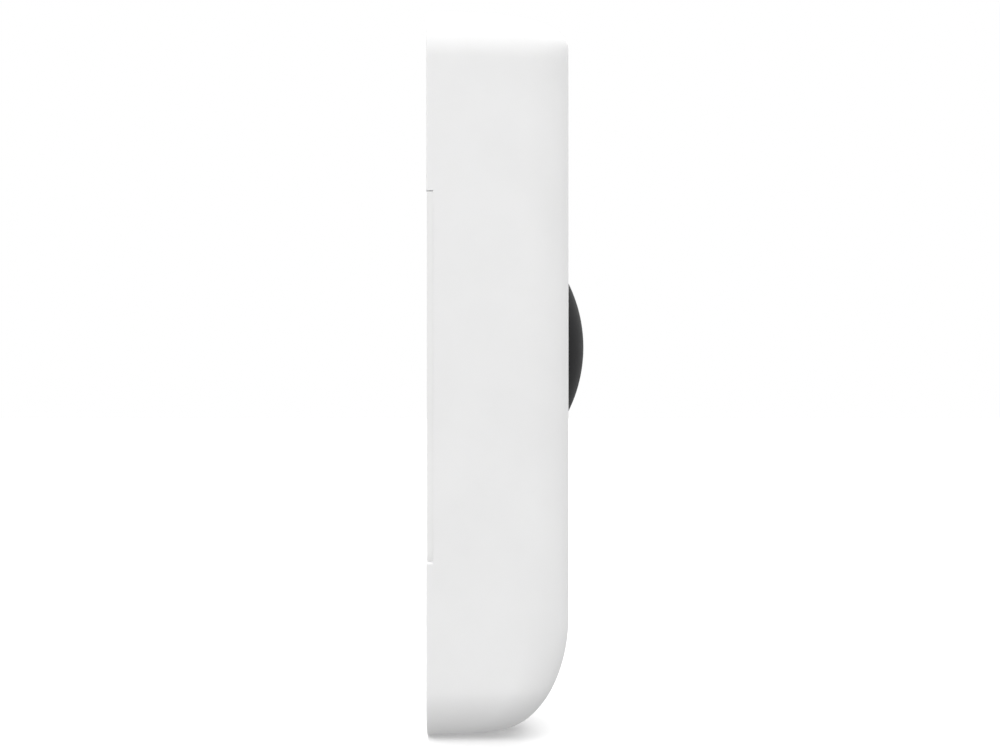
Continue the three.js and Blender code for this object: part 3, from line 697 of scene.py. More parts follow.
SPEAKER_SLOTS = [-6, -4, -2, 0, 2, 4, 6]  # x of each slot
NOTCH_DEPTH = 1.1
NOTCH_ENDS = (-30.4, 29.6)
HOUSING_SCREWS = {"top_left": (-12.8, 51), "top_right": (12.8, 51), "bottom_left": (-13.4, -47),
                  "bottom_right": (13.4, -47)}
BOARD_SCREWS = {"upper": (12.6, 24), "lower": (-12.6, -14)}
HOUSING_PLACES, BOARD_PLACES = HOUSING_SCREWS.values(), BOARD_SCREWS.values()
TERMINALS = {"left": -TERMINAL_X, "right": TERMINAL_X}
TERMINAL_PLACES = [(x, TERMINAL_Z) for x in TERMINALS.values()]
RESET_PLACE = (-9, 2)
LAMP_ANGLES = {1: 45, 2: 135, 3: 225, 4: 315}  # each lamp's number and degrees round the lens
LAMP_CIRCLE = 7.9
DOME_RADIUS = 11.45
DOME_SPHERE, DOME_TIP = 24.5, 26.15  # the radius that its face is part of, and how far out it reaches
DOME_HOLE, BUTTON_HOLE, MOTION_HOLE = 11.75, 10.7, 5.25  # radii
RING_RADIUS = 10.4


def speaker_slots():
    return [long_hole(x, 12.4, 15.8, 0.55, -66, -52.5) for x in SPEAKER_SLOTS]


def lock_rod(start, end, radius, segments=64):
    """A rod on the security screw's upright axis, between two heights."""
    profile = [(0, start), (radius, start), (radius, end), (0, end)]
    return turned("rod", profile, segments=segments, middle_f=LOCK_DEPTH)


def build_front_cover():
    cover = open_shell("front_cover", 0, COVER_SKIN, 0)
    holes = [
        lipped_hole(0, CAMERA_Z, DOME_HOLE, 0.25),
        lipped_hole(0, BUTTON_Z, BUTTON_HOLE, 0.25),
        lipped_hole(0, MOTION_Z, MOTION_HOLE, 0.2),
        lipped_hole(0, MICROPHONE_Z, 0.6, 0.2),
        *speaker_slots(),
    ]
    for side in (-1, 1):
        x0, x1 = sorted((side * 15, side * 25))
        holes.append(block((x0, x1), (-1, NOTCH_DEPTH), NOTCH_ENDS))
        # a small chamfer at each end of the notch
        for end, slope in zip(NOTCH_ENDS, (-0.7, 0.2)):
            low = end - slope / 8
            corner = [(side * 19.7, low), (side * 20.5, low), (side * 20.5, end + slope)]
            holes.append(slab(corner, -1, NOTCH_DEPTH))
    # shallow round marks where ejector pins pushed the moulding out
    pins = ((-13, 20), (13, 20), (-13, -14), (13, -14), (-12, 44), (12, 44))
    holes += discs(pins, 1.6, 18, DEPTH - COVER_SKIN + 0.12)
    lock_notch = joined(lock_rod(-63, -55, 2.8), block((-2.8, 2.8), (-1, LOCK_DEPTH), (-63, -55)))
    return smoothed(cut(cover, *holes, lock_notch), 30)


def build_front_frame():
    shell = open_shell("front_frame", FRAME_INSET, INNER_INSET, 4)
    posts = discs(HOUSING_PLACES, 2.7, FRAME_START - 1, 21, 40) + discs(BOARD_PLACES, 2, 13.7, 21, 40)
    for post in posts:
        combined(post, "INTERSECT", [form(FRAME_INSET + 0.6, 24)])
    joined(shell, *posts)
    holes = [block((-30, 30), (-5, FRAME_START), (-70, 70))]
    holes += discs(HOUSING_PLACES, 1.1, 9, 15, 32) + discs(BOARD_PLACES, 0.9, 12, 17.5, 32)
    for z, radius, segments in ((CAMERA_Z, DOME_HOLE, 96), (BUTTON_Z, BUTTON_HOLE, 96),
                                (MOTION_Z, MOTION_HOLE, 64), (MICROPHONE_Z, 1, 48)):
        holes.append(disc(0, z, radius, 15, 30, segments))
    # shallow panels sunk into the face, and pockets for the cover's hooks in the sides
    for sunk in ((-9, 9, 18.6, 27.4), (-11, 11, -16.6, -9.6), (-4.5, 4.5, 49.2, 52.4)):
        holes.append(panel(*sunk, 1.5, 20.85, 25))
    for z in (-34, -12, 12, 34):
        holes += [block(xs, (12, 13.6), (z - 3, z + 3)) for xs in ((-20, -17.3), (17.3, 20))]
    return smoothed(cut(shell, *holes, *speaker_slots()), 35)


def swing_arc(inner, outer, start, end, x0, x1, steps=20):
    """A bar curved round the top rear edge, between two radii and two angles from straight down."""
    outline = []
    for radius, angles in ((outer, range(steps + 1)), (inner, range(steps, -1, -1))):
        for i in angles:
            angle = math.radians(start + (end - start) * i / steps)
            outline.append((radius * math.sin(angle), HALF_HEIGHT - radius * math.cos(angle)))
    return lofted("arc", [[(x, f, z) for f, z in outline] for x in (x0, x1)])


def build_rear_housing():
    tray = body_slab(FRAME_INSET, 0.15, PARTING, 0.12)
    cut(tray, body_slab(INNER_INSET, -1, 2.9), body_slab(INNER_INSET, 4.4, PARTING + 1))
    joined(
        tray,
        panel(-13.6, 13.6, TERMINAL_Z - 7.2, TERMINAL_Z + 7.2, 1.2, 4.3, 6.6),
        panel(-10.9, 10.9, 49.4, 56.35, 0.8, 4.3, 8.4),
        panel(-6.8, 6.8, -56.35, -49.4, 0.8, 4.3, PARTING - 0.02),
        *discs(HOUSING_PLACES, 3, 4.3, PARTING + 0.3, 48),
    )
    holes = [panel(-12.3, 12.3, TERMINAL_Z - 6, TERMINAL_Z + 6, 1, -1, 5.2)]
    holes += discs(TERMINAL_PLACES, 2.5, 4, 8, 48)
    holes += [swing_arc(7.2, 9.4, 2, 50, *xs) for xs in ((-9.9, -3.1), (3.1, 9.9))]
    holes.append(block((-5.5, 5.5), (-1, 9.1), (-55.6, -53.1)))
    holes.append(block((-2.9, 2.9), (3.3, 9.1), (-53.2, -50.8)))
    bore = [(0, -60), (2.75, -60), (2.75, -56.9), (1.45, -56.9), (1.45, -50), (0, -50)]
    holes.append(turned("bore", bore, segments=50, middle_f=LOCK_DEPTH))
    bore = [(0, 2), (2.15, 2), (2.15, 4.2), (1.15, 4.2), (1.15, 12), (0, 12)]
    holes += [turned("bore", bore, x, z, 48) for x, z in HOUSING_PLACES]
    holes.append(disc(*RESET_PLACE, 1.95, 2, 6, 48))
    # a shallow blank panel where a label goes, and a dished vent
    holes.append(panel(-12, 12, 12, 34, 1.5, 2, 3.05))
    holes.append(turned("vent", [(0, 2), (3.4, 2), (3.4, 2.9), (2.9, 3.3), (0, 3.3)], 8.5, 2.5, 64))
    cut(tray, *holes)
    low, high = NOTCH_ENDS[0] + 0.01, NOTCH_ENDS[1] - 0.01
    flange = [(17.4, low), (19.9, low), (20.25, low + 1.6), (20.25, high), (17.4, high)]
    for side in (-1, 1):
        joined(tray, slab([(side * x, z) for x, z in flange], 0.19, NOTCH_DEPTH - 0.01))
    return smoothed(tray, 35)


def build_wall_plate():
    rows = []
    for f, shrink in eased_rims(0, 2.2, 0.2):
        w, low, high = 16.3 - shrink, -55.1 + shrink, 55.8 - shrink
        rows.append([(x, f, z) for x, z in rounded_rectangle(-w, w, low, high, 4 - shrink, 16)])
    plate = lofted("wall_plate", rows)
    raised = [panel(-12.8 - 1.2, 12.8 + 1.2, TERMINAL_Z - 8 - 1.2, TERMINAL_Z + 8 + 1.2, 3, 1, 2.6)]
    holes = [panel(-12.8, 12.8, TERMINAL_Z - 8, TERMINAL_Z + 8, 2, -1, 5)]
    for z in (-39, 39):
        raised.append(panel(-4.5, 4.5, z - 6.6, z + 6.6, 4.3, 1, 2.6))
        holes.append(panel(-2.1, 2.1, z - 4.2, z + 4.2, 2.09, -1, 5))
        holes.append(countersink(z, 2.1, 4.2, 1.3))
    raised += [swing_arc(7.6, 9, 8, 45, *xs) for xs in ((-9.5, -3.5), (3.5, 9.5))]
    raised.append(slab([(-2, 3.6), (2, 3.6), (0, 7.4)], 1, 2.6))
    raised.append(block((-5, 5), (0.5, LOCK_DEPTH + 2.3), (-55.09, -53.6)))
    joined(plate, *raised)
    holes += [lock_rod(-57, -52, 1.6, 48), block((-1.6, 1.6), (LOCK_DEPTH, LOCK_DEPTH + 5), (-57, -52))]
    # hollows in the back leave a grid of ribs against the wall
    above, below = ((44.6, 53.8), (29.6, 43.4), (14.6, 28.4), (-0.4, 13.4)), ((-40.4, -29.2), (-53, -41.6))
    hollows = [(*x, *z) for heights in (above, below) for x in ((-14.6, -7.4), (7.4, 14.6)) for z in heights]
    hollows += [(-6.2, 6.2, *z) for z in ((16, 29.6), (-4, 14.8), (48.2, 53.8))]
    holes += [panel(*hollow, 1.2, -1, 1, 6) for hollow in hollows]
    return smoothed(cut(plate, *holes), 35)


def countersink(z, half_width, half_length, flare):
    """The sunk rim of a screw slot."""
    rows = []
    for f, grow in ((1.2, 0), (2.2, flare), (3.4, flare)):
        w, h = half_width + grow, half_length + grow
        rows.append([(x, f, pz) for x, pz in rounded_rectangle(-w, w, z - h, z + h, w - 0.01, 12)])
    return lofted("sink", rows)


def build_housing_seal():
    """A soft square cord round the parting line, its corners rounded."""
    section = [(3.3, 9.72), (3.3, 10.13), (3.2, 10.2), (2.2, 10.2), (2.1, 10.13), (2.1, 9.72), (2.2, 9.65),
               (3.2, 9.65)]
    rows = lean_rows([rim_row(inset, depth) for inset, depth in section])
    points = [p for row in rows for p in row]
    around_again = strips(rows + rows[:1], True)
    faces = [tuple(i % len(points) for i in face) for face in around_again]
    return smoothed(made("seal", points, faces), 35)


for node, build in (("front_cover", build_front_cover), ("front_frame", build_front_frame),
                    ("rear_housing", build_rear_housing), ("wall_plate", build_wall_plate),
                    ("housing_seal", build_housing_seal)):
    dressed(build(), node)


# ---- camera ----

def sphere_arc(sphere, centre, radius, steps):
    radii = [radius * i / steps for i in range(steps + 1)]
    return [(r, centre + math.sqrt(sphere ** 2 - r ** 2)) for r in radii]


def lathe_piece(node, profile, x=0.0, z=0.0, ease=0.12, ring=False, segments=96, middle_f=None):
    """A turned piece with eased corners that stands for a CAD node."""
    piece = turned(node, eased_corners(profile, ease, ring), x, z, segments, middle_f)
    return dressed(smoothed(piece), node)


def build_dome():
    outside = sphere_arc(DOME_SPHERE, DOME_TIP - DOME_SPHERE, DOME_RADIUS, 48)
    inside = sphere_arc(DOME_SPHERE - 1.5, DOME_TIP - DOME_SPHERE, 10.15, 36)[::-1]
    flange = [(DOME_RADIUS, 19.2), (13, 19.2), (13, 18.1), (10.15, 18.1)]
    lathe_piece("camera_dome", outside + flange + inside, z=CAMERA_Z, ease=0.2, segments=144)
    seal = [(11.8, 19.25), (12.9, 19.25), (12.9, 19.7), (11.8, 19.7)]
    lathe_piece("dome_seal", seal, z=CAMERA_Z, ring=True)


def build_shroud():
    """The matt baffle round the lens, stepped so that it throws no glare, with four lamp wells."""
    profile = [(5.9, 17.3), (9.8, 17.3), (9.8, 19.6)]
    for i in range(5):
        r, f = 9.8 - 0.68 * (i + 1), 19.6 + 0.32 * i
        profile += [(r, f), (r, f + 0.32)]
    shroud = turned("shroud", profile + [(5.9, 21.2)], 0, CAMERA_Z, 128)
    edged(cut(shroud, *discs(lamp_places(LAMP_ANGLES.values()), 1.7, 16, 23, 48)), "lens_shroud", 0.05)


def lamp_places(angles):
    places = [around(LAMP_CIRCLE, degrees) for degrees in angles]
    return [(x, CAMERA_Z + z) for x, z in places]


def build_lamps():
    for number, (x, z) in zip(LAMP_ANGLES, lamp_places(LAMP_ANGLES.values())):
        angles = [math.pi / 2 * i / 12 for i in range(13)]
        bulb = [(1.5 * math.sin(a), 19.1 + 1.5 * math.cos(a)) for a in angles]
        base = [(1.5, 17.9), (1.62, 17.8), (1.62, 17.25), (0, 17.25)]
        lathe_piece("infrared_lamp_%d" % number, bulb + base, x, z, 0.05, segments=48)


def build_lens():
    lathe_piece("front_lens", sphere_arc(11, 11.9, 4.4, 20) + [(4.4, 21.3), (0, 21.3)], z=CAMERA_Z, ease=0.06)
    mouth = [(5.3, 18.2), (5.6, 18.5), (5.6, 20.4), (5.45, 20.5), (5.45, 20.9), (5.6, 21), (5.6, 22.1),
             (5.4, 22.3), (4.7, 22.3), (4.7, 21), (4.2, 21), (4.2, 20.8), (3.6, 20.8), (3.6, 20.4), (3, 20.4)]
    barrel = threaded([(3, 14)], (4, 14, 18.1, 0.5, 0.22), mouth, 0, CAMERA_Z, 96)
    dressed(smoothed(barrel, 40), "lens_barrel")


# ---- threads and drives ----

def shank(radius, start, end, pitch, per_turn=8):
    """Close points down a shank, for cut_thread to shape."""
    count = round((end - start) / pitch * per_turn)
    return [(radius, start + (end - start) * i / count) for i in range(count + 1)]


def cut_thread(obj, x, z, radius, start, end, pitch, depth, middle_f=None):
    """Sinks a helix into the part of a shank between two places on its axis."""
    for vertex in obj.data.vertices:
        px, pf, pz = vertex.co.x / MM - x, -vertex.co.y / MM, vertex.co.z / MM - z
        along, a, b = (pf, px, pz) if middle_f is None else (vertex.co.z / MM, px, pf - middle_f)
        reach = math.hypot(a, b)
        if not start + 0.01 < along < end - 0.01 or abs(reach - radius) > 0.02:
            continue
        phase = (along / pitch + math.atan2(b, a) / (2 * math.pi)) % 1
        share = 1 - depth * abs(2 * phase - 1) / radius
        if middle_f is None:
            vertex.co.x, vertex.co.z = (x + a * share) * MM, (z + b * share) * MM
        else:
            vertex.co.x, vertex.co.y = (x + a * share) * MM, -(middle_f + b * share) * MM


def threaded(head, thread, tip, x=0.0, z=0.0, segments=40, middle_f=None):
    """A turned piece with a thread, (radius, start, end, pitch, depth), between its head and its tip."""
    radius, start, end, pitch, depth = thread
    piece = turned("screw", head + shank(radius, start, end, pitch) + tip, x, z, segments, middle_f)
    cut_thread(piece, x, z, radius, start, end, pitch, depth, middle_f)
    return piece


def cross_recess(x, z, f, size, depth):
    """A cross-head recess that narrows as it goes in from a head at depth f towards the front."""
    arms = []
    for wide, tall in ((size, size * 0.24), (size * 0.24, size)):
        rows = []
        for df, share in ((-0.5, 1), (0, 1), (depth, 0.3)):
            w, h = wide / 2 * share, tall / 2 * max(share, 0.6)
            rows.append([(x + sx * w, f + df, z + sz * h) for sx, sz in ((-1, -1), (1, -1), (1, 1), (-1, 1))])
        arms.append(lofted("arm", rows))
    return joined(*arms)


def build_cross_screws(kind, places, face, head, thread, tip):
    """Pan-head tapping screws, seen in their recesses from behind."""
    for place, (x, z) in places.items():
        piece = threaded(head, thread, tip, x, z)
        cut(piece, cross_recess(x, z, face, 2.1, 0.75))
        dressed(smoothed(piece, 40), "%s_screw_%s" % (kind, place))


def build_terminals():
    """Brass posts, square clamp washers and slotted screws for the two supply wires."""
    post = [(1.4, 4.6), (3.2, 4.6), (3.2, 5.15), (2.3, 5.15), (2.3, 7.9), (1.8, 7.9), (1.8, 9.2), (1.4, 9.2)]
    head = [(0, 2), (2.3, 2), (2.65, 2.12), (2.8, 2.4), (2.8, 3.6), (2.7, 3.75), (1.25, 3.75)]
    edge = 3.3
    for side, x in TERMINALS.items():
        lathe_piece("terminal_post_" + side, post, x, TERMINAL_Z, 0.1, ring=True, segments=64)
        washer = panel(x - edge, x + edge, TERMINAL_Z - edge, TERMINAL_Z + edge, 0.4, 3.8, 4.55, 6)
        grooves = [(TERMINAL_Z + dz - 0.15, TERMINAL_Z + dz + 0.15) for dz in (-2.6, -1.9, 1.9, 2.6)]
        teeth = [block((x - 4, x + 4), (4.42, 5), zs) for zs in grooves]
        cut(washer, disc(x, TERMINAL_Z, 1.45, 3, 5, 48), *teeth)
        edged(washer, "terminal_washer_" + side, 0.1)
        screw = threaded(head, (1.25, 4.0, 8.4, 0.5, 0.2), [(1.0, 8.8), (0, 8.9)], x, TERMINAL_Z, 48)
        cut(screw, block((x - 3.5, x + 3.5), (1.5, 2.9), (TERMINAL_Z - 0.4, TERMINAL_Z + 0.4)))
        dressed(smoothed(screw, 40), "terminal_screw_" + side)


def build_lock():
    """The security screw underneath: a six-lobed socket with a pin in its middle."""
    seat = -56.9
    low = seat - 2
    head = [(0, low), (1.9, low), (2.2, low + 0.12), (2.3, low + 0.35), (2.3, seat - 0.6), (2.2, seat - 0.45),
            (1.2, seat - 0.45)]
    thread = (1.2, seat - 0.2, -51.1, 0.5, 0.2)
    screw = threaded(head, thread, [(0.9, -50.7), (0, -50.6)], segments=48, middle_f=LOCK_DEPTH)
    star = []
    for i in range(72):
        angle = 2 * math.pi * i / 72
        radius = 1.02 + 0.16 * math.cos(6 * angle)
        star.append((radius * math.cos(angle), LOCK_DEPTH + radius * math.sin(angle)))
    cut(screw, lofted("socket", [[(x, f, z) for x, f in star] for z in (low - 1, low + 1.1)]))
    pin = [(0, low + 0.15), (0.22, low + 0.15), (0.28, low + 0.25), (0.28, low + 1.3), (0, low + 1.3)]
    joined(screw, turned("pin", pin, segments=32, middle_f=LOCK_DEPTH))
    dressed(smoothed(screw, 40), "security_screw")
    washer = [(1.4, seat - 0.4), (2.6, seat - 0.4), (2.6, seat - 0.05), (1.4, seat - 0.05)]
    lathe_piece("security_washer", washer, ease=0.08, ring=True, middle_f=LOCK_DEPTH)


# ---- button, motion sensor, reset ----

def build_button():
    dish = [(7.7 * i / 24, 22.3 + 0.6 * (i / 24) ** 2) for i in range(25)]
    bends = [math.radians(a) for a in range(10, 91, 10)]
    rim = [(8.0 + 0.75 * math.sin(a), 22.15 + 0.75 * math.cos(a)) for a in bends]
    under = [(8.75, 19.6), (9.65, 19.6), (9.65, 18.6), (7.6, 18.6), (7.6, 21), (2, 21), (2, 18.8), (0, 18.8)]
    lathe_piece("button_cap", dish + rim + under, z=BUTTON_Z, ease=0.15, segments=128)
    glow = [(9.1, 22.8), (9.35, 23.05), (9.75, 23.12), (10.15, 23.05), (RING_RADIUS, 22.8),
            (RING_RADIUS, 19.5), (11.6, 19.5), (11.6, 18.7), (10, 18.7), (10, 19.75), (9.1, 19.75)]
    lathe_piece("light_ring", glow, z=BUTTON_Z, ease=0.1, ring=True, segments=128)
    web = [(7.9, 17.6), (8.6, 17.6), (9.2, 17.3), (9.8, 17.6), (11, 17.6), (11, 13.7), (11.6, 13.7),
           (11.6, 18.4), (9.8, 18.4), (9.2, 18.15), (8.6, 18.4), (7.9, 18.4)]
    seal = lathe_piece("button_seal", web, z=BUTTON_Z, ease=0.15, ring=True)
    lathe_piece("switch_plunger", [(0, 16.9), (1.6, 16.9), (1.6, 18.75), (0, 18.75)], z=BUTTON_Z, segments=48)
    spring = [(0.4, 16.6), (2.2, 16.1), (2.2, 16.25), (0.4, 16.75)]
    snap = lathe_piece("switch_snap_dome", spring, z=BUTTON_Z, ease=0.03, ring=True, segments=64)
    # both stand on the wall side, and each is given a mesh of its own
    for piece, foot, keep in ((seal, 0.0137, 0.86), (snap, 0.0161, 0.1)):
        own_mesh(piece)


def build_motion_sensor():
    """A milky lens with fine rings moulded in its face, over a can with a window."""
    face = [(0, 23.12)]
    for i in range(10):
        r = 0.25 + 0.44 * i
        level = 23.12 - 0.1 * (r / 4.6) ** 2
        face += [(r, level), (r + 0.03, level - 0.06)]
    face += [(4.65, 23.0), (4.9, 22.92), (5, 22.75)]
    under = [(5, 19.7), (5.9, 19.7), (5.9, 18.8), (4.2, 18.8), (4.2, 22.3), (0, 22.3)]
    lathe_piece("motion_lens", face + under, z=MOTION_Z, ease=0.04, segments=128)
    can = [(0, 13.65), (4.6, 13.65), (4.6, 14.1), (4.1, 14.2), (4, 14.4), (4, 17.6), (3.7, 17.9), (0, 17.9)]
    piece = turned("can", eased_corners(can, 0.1, False), 0, MOTION_Z, 72)
    cut(piece, chip(0, MOTION_Z, 4.2, 3.2, 17.75, 19))
    dressed(smoothed(piece), "motion_sensor")
    boot = [(0.9, 14.8), (2.4, 14.8), (2.3, 17), (2.1, 17.2), (2.1, 17.6), (2.25, 17.8), (2.2, 19.7),
            (0.9, 19.7)]
    lathe_piece("microphone_boot", boot, z=MICROPHONE_Z, ring=True, segments=64)
    knob = [(0, 3.12), (1.1, 3.1), (1.4, 3), (1.7, 3.05), (1.7, 4.6), (2.5, 4.6), (2.5, 5.2), (0, 5.2)]
    lathe_piece("reset_button", knob, *RESET_PLACE, segments=64)


build_dome()
build_shroud()
build_lamps()
build_lens()
build_cross_screws("housing", HOUSING_SCREWS, 3,
                   [(0, 3), (1.5, 3), (1.75, 3.08), (1.9, 3.3), (1.9, 4.15), (0.95, 4.15)],
                   (0.95, 4.4, 13.4, 0.8, 0.25), [(0.5, 14.2), (0, 14.4)])
build_cross_screws("board", BOARD_SCREWS, 11.2,
                   [(0, 11.2), (1.55, 11.2), (1.8, 11.35), (1.9, 11.6), (1.9, 12.5), (0.8, 12.5)],
                   (0.8, 12.7, 16.6, 0.6, 0.2), [(0.4, 17.1), (0, 17.3)])
build_terminals()
build_lock()
build_button()
build_motion_sensor()


# ---- parts inside the camera ----

def merged(shapes):
    """Several shapes as one mesh, left overlapping or apart as they are."""
    bm = bmesh.new()
    for shape in shapes:
        bm.from_mesh(shape.data)
    first = shapes[0]
    bm.to_mesh(first.data)
    bm.free()
    for shape in shapes[1:]:
        bpy.data.objects.remove(shape)
    return first


def sheet(x, z, width, height, radius, f0, f1):
    """A rounded plate round a centre seen from the front."""
    return panel(x - width / 2, x + width / 2, z - height / 2, z + height / 2, radius, f0, f1, 6)


def build_camera_inside():
    lamp_board = turned("board", [(6, 16.4), (9.8, 16.4), (9.8, 17.2), (6, 17.2)], 0, CAMERA_Z, 96)
    holes = discs(lamp_places(90 * k + 2 for k in range(4)), 0.5, 16, 18, 24)
    dressed(smoothed(cut(lamp_board, *holes)), "lamp_board")
    corners = [(sx, sz) for sx in (-1, 1) for sz in (-1, 1)]
    holder = joined(sheet(0, CAMERA_Z, 13, 13, 1, 11.85, 16.2), disc(0, CAMERA_Z, 5.3, 16, 17.9),
                    *[chip(sx * 4.6, CAMERA_Z + sz * 4.6, 1.2, 1.2, 16, 16.9) for sx, sz in corners])
    cut(holder, chip(0, CAMERA_Z, 10.6, 10.6, 11, 15), disc(0, CAMERA_Z, 4.15, 12, 20))
    edged(holder, "lens_holder", 0.12)
    sensor = cut(sheet(0, CAMERA_Z, 7, 7, 0.3, 11.85, 12.8), chip(0, CAMERA_Z, 5.2, 4.2, 12.65, 13.5))
    edged(sensor, "image_sensor", 0.05)
    holes = discs([(sx * 7.4, CAMERA_Z + sz * 7.4) for sx, sz in corners], 0.6, 10, 13, 24)
    edged(cut(sheet(0, CAMERA_Z, 17, 17, 1.2, 11, 11.8), *holes), "sensor_board", 0.05)


def build_ribbon():
    """A flat flexible cable in a smooth bend, from the sensor board to its socket."""
    route = [(10.8, -2), (10.8, -4.6), (11.2, -6.2), (11.9, -7.8), (12.2, -9.2)]
    line = smooth_path([(0, f, z) for f, z in route], 8)
    rows = []
    for i, (_, f, z) in enumerate(line):
        _, fa, za = line[max(i - 1, 0)]
        _, fb, zb = line[min(i + 1, len(line) - 1)]
        run = math.hypot(fb - fa, zb - za)
        df, dz = 0.1 * (zb - za) / run, -0.1 * (fb - fa) / run
        rows.append([(-3, f - df, z - dz), (3, f - df, z - dz), (3, f + df, z + dz), (-3, f + df, z + dz)])
    dressed(smoothed(lofted("ribbon", rows), 50), "camera_ribbon")


def smooth_path(points, steps):
    """Points on a smooth curve through the given ones."""
    padded = [points[0]] + list(points) + [points[-1]]
    path = []
    for i in range(len(points) - 1):
        p0, p1, p2, p3 = (Vector(p) for p in padded[i:i + 4])
        for k in range(steps):
            t = k / steps
            path.append(tuple(0.5 * (2 * p1 + (p2 - p0) * t + (2 * p0 - 5 * p1 + 4 * p2 - p3) * t * t
                                     + (3 * p1 - p0 - 3 * p2 + p3) * t ** 3)))
    return path + [tuple(points[-1])]


# ---- switch and speaker ----

def legs(x, z, width, f0, f1, count, pitch):
    """Bent solder legs down both upright sides of a package."""
    shapes = []
    for side in (-1, 1):
        for k in range(count):
            lz = z + (k - (count - 1) / 2) * pitch
            x0, x1 = sorted((x + side * (width / 2 - 0.1), x + side * (width / 2 + 0.55)))
            shapes.append(block((x0, x1), (f0, f1), (lz - pitch * 0.2, lz + pitch * 0.2)))
    return shapes


def build_switch():
    base = cut(sheet(0, BUTTON_Z, 6.2, 6.2, 0.4, 13.65, 17), disc(0, BUTTON_Z, 2.4, 16, 18))
    edged(base, "switch_base", 0.12)
    feet = merged(legs(0, BUTTON_Z, 6.0, 13.62, 13.85, 2, 4.4))
    feet.name = "switch_legs"
    attached(smoothed(rounded_edges(feet, 0.04, 1)), "unit", "sheet_steel")


def speaker_outline(half_width, half_height, f):
    low, high = SPEAKER_Z - half_height, SPEAKER_Z + half_height
    outline = rounded_rectangle(-half_width, half_width, low, high, half_height - 0.2, 14)
    return [(x, f, z) for x, z in outline]


def speaker_solid(*rings):
    return lofted("ring", [speaker_outline(*ring) for ring in rings])


def build_speaker():
    basket = speaker_solid((9.5, 4.9, 10.6), (9.8, 5.2, 11), (9.8, 5.2, 13.9), (9.6, 5.0, 14.3))
    cup = speaker_solid((8.6, 4.0, 13), (8.6, 4.0, 13.9), (8.9, 4.3, 16))
    vents = discs([(x, SPEAKER_Z) for x in (-6.6, -4.6, 4.6, 6.6)], 0.9, 9, 14, 32)
    edged(cut(basket, cup, disc(0, SPEAKER_Z, 3.3, 9, 14), *vents), "speaker_frame", 0.08)
    magnet = [(0, 10.2), (3.1, 10.2), (3.1, 10.9), (2.95, 11), (2.95, 12.6), (0, 12.6)]
    lathe_piece("speaker_magnet", magnet, z=SPEAKER_Z, segments=72)
    # the cone: a rolled edge, a trough, a flat plate and a shallow cap
    front = [(8.4, 3.8, 13.2), (8.1, 3.5, 13.42), (7.7, 3.1, 13.5), (7.3, 2.75, 13.42), (7.0, 2.5, 13.25),
             (5.5, 2.3, 13.28), (3.0, 2.0, 13.36), (1.2, 1.0, 13.42)]
    back = [(w, h, f - 0.1) for w, h, f in front[::-1]]
    dressed(smoothed(speaker_solid(*back, *front), 40), "speaker_cone")


# ---- circuit boards ----

def package(x, z, width, height, f0, f1):
    """A moulded chip body, drafted from its middle to its top and bottom."""
    rows = []
    for f, inset in ((f0, 0.12), ((f0 + f1) / 2, 0), (f1, 0.12)):
        w, h = width / 2 - inset, height / 2 - inset
        rows.append([(px, f, pz) for px, pz in rounded_rectangle(x - w, x + w, z - h, z + h, 0.15, 3)])
    return lofted("chip", rows)


def passives(places, f0, f1):
    """Two-ended surface parts: a dark body with a tinned cap on each end."""
    bodies, caps = [], []
    for x, z in places:
        bodies.append(chip(x, z, 0.7, 0.55, f0, f1 - 0.05))
        caps += [chip(x + side * 0.45, z, 0.26, 0.62, f0, f1) for side in (-1, 1)]
    return bodies, caps


# chips on each face: x, z, width, height
MAIN_FRONT = [(0, 20, 8, 8), (-9.5, 23.5, 5, 4), (10, 14, 4, 5), (-11, 3, 4, 6), (11, 0, 5, 6),
              (0, -11.5, 7, 5), (10.8, -13, 5, 4)]
MAIN_BACK = [(11.6, -33, 4, 5), (-10.5, 6, 5, 5), (10.8, 4, 4, 6), (11.5, 37, 4, 4)]
POWER_BACK = [(9.6, -6.4, 3.9, 4.9), (-1.2, 3.6, 3, 3)]
# rows of small parts: x and z of the first, how many, step in x and z, and 1 for the front face
MAIN_ROWS = [(-12.8, 14, 5, 0, 1.3, 1), (12.9, 29, 4, -0.02, 1.3, 1), (-7.5, -3.6, 5, 1.6, 0, 1),
             (-5, 28, 6, 2, 0, 1), (-13, 32, 6, 0, 1.3, 1), (-12.9, -7, 4, 0, 1.3, -1),
             (9.2, -40, 4, 1.5, 0, -1), (-8, 46, 5, 1.5, -0.9, 1)]
POWER_ROWS = [(-13, -2, 4, 0, 1.3, -1), (13, -3, 5, 0, 1.3, -1), (-4.6, 6.6, 5, 1.5, 0, -1),
              (-12, 5, 6, 1.6, 0, 1)]


def build_board_details(board, faces, fronts, backs, rows, height=1.0):
    """The chips, legs and small parts on both faces of a board, as two pieces that ride with it."""
    back, front = faces[0] + 0.02, faces[1] - 0.02
    dark, tinned = [], []
    for chips, span, foot in ((fronts, (front, front + height), (front, front + 0.16)),
                              (backs, (back - height, back), (back - 0.16, back))):
        for x, z, w, h in chips:
            dark.append(package(x, z, w, h, span[0] + 0.02, span[1] - 0.02))
            tinned += legs(x, z, w, *foot, int(h / 0.65) - 1, 0.65)
    for x0, z0, count, dx, dz, face in rows:
        places = [(x0 + k * dx, z0 + k * dz) for k in range(count)]
        bodies, caps = passives(places, *((front, front + 0.5) if face > 0 else (back - 0.5, back)))
        dark += bodies
        tinned += caps
    for name, shapes, finish in (("chips", dark, "chip_black"), ("joints", tinned, "sheet_steel")):
        piece = merged(shapes)
        piece.name = "%s_%s" % (board, name)
        attached(smoothed(rounded_edges(piece, 0.03, 1, 50)), "unit", finish)


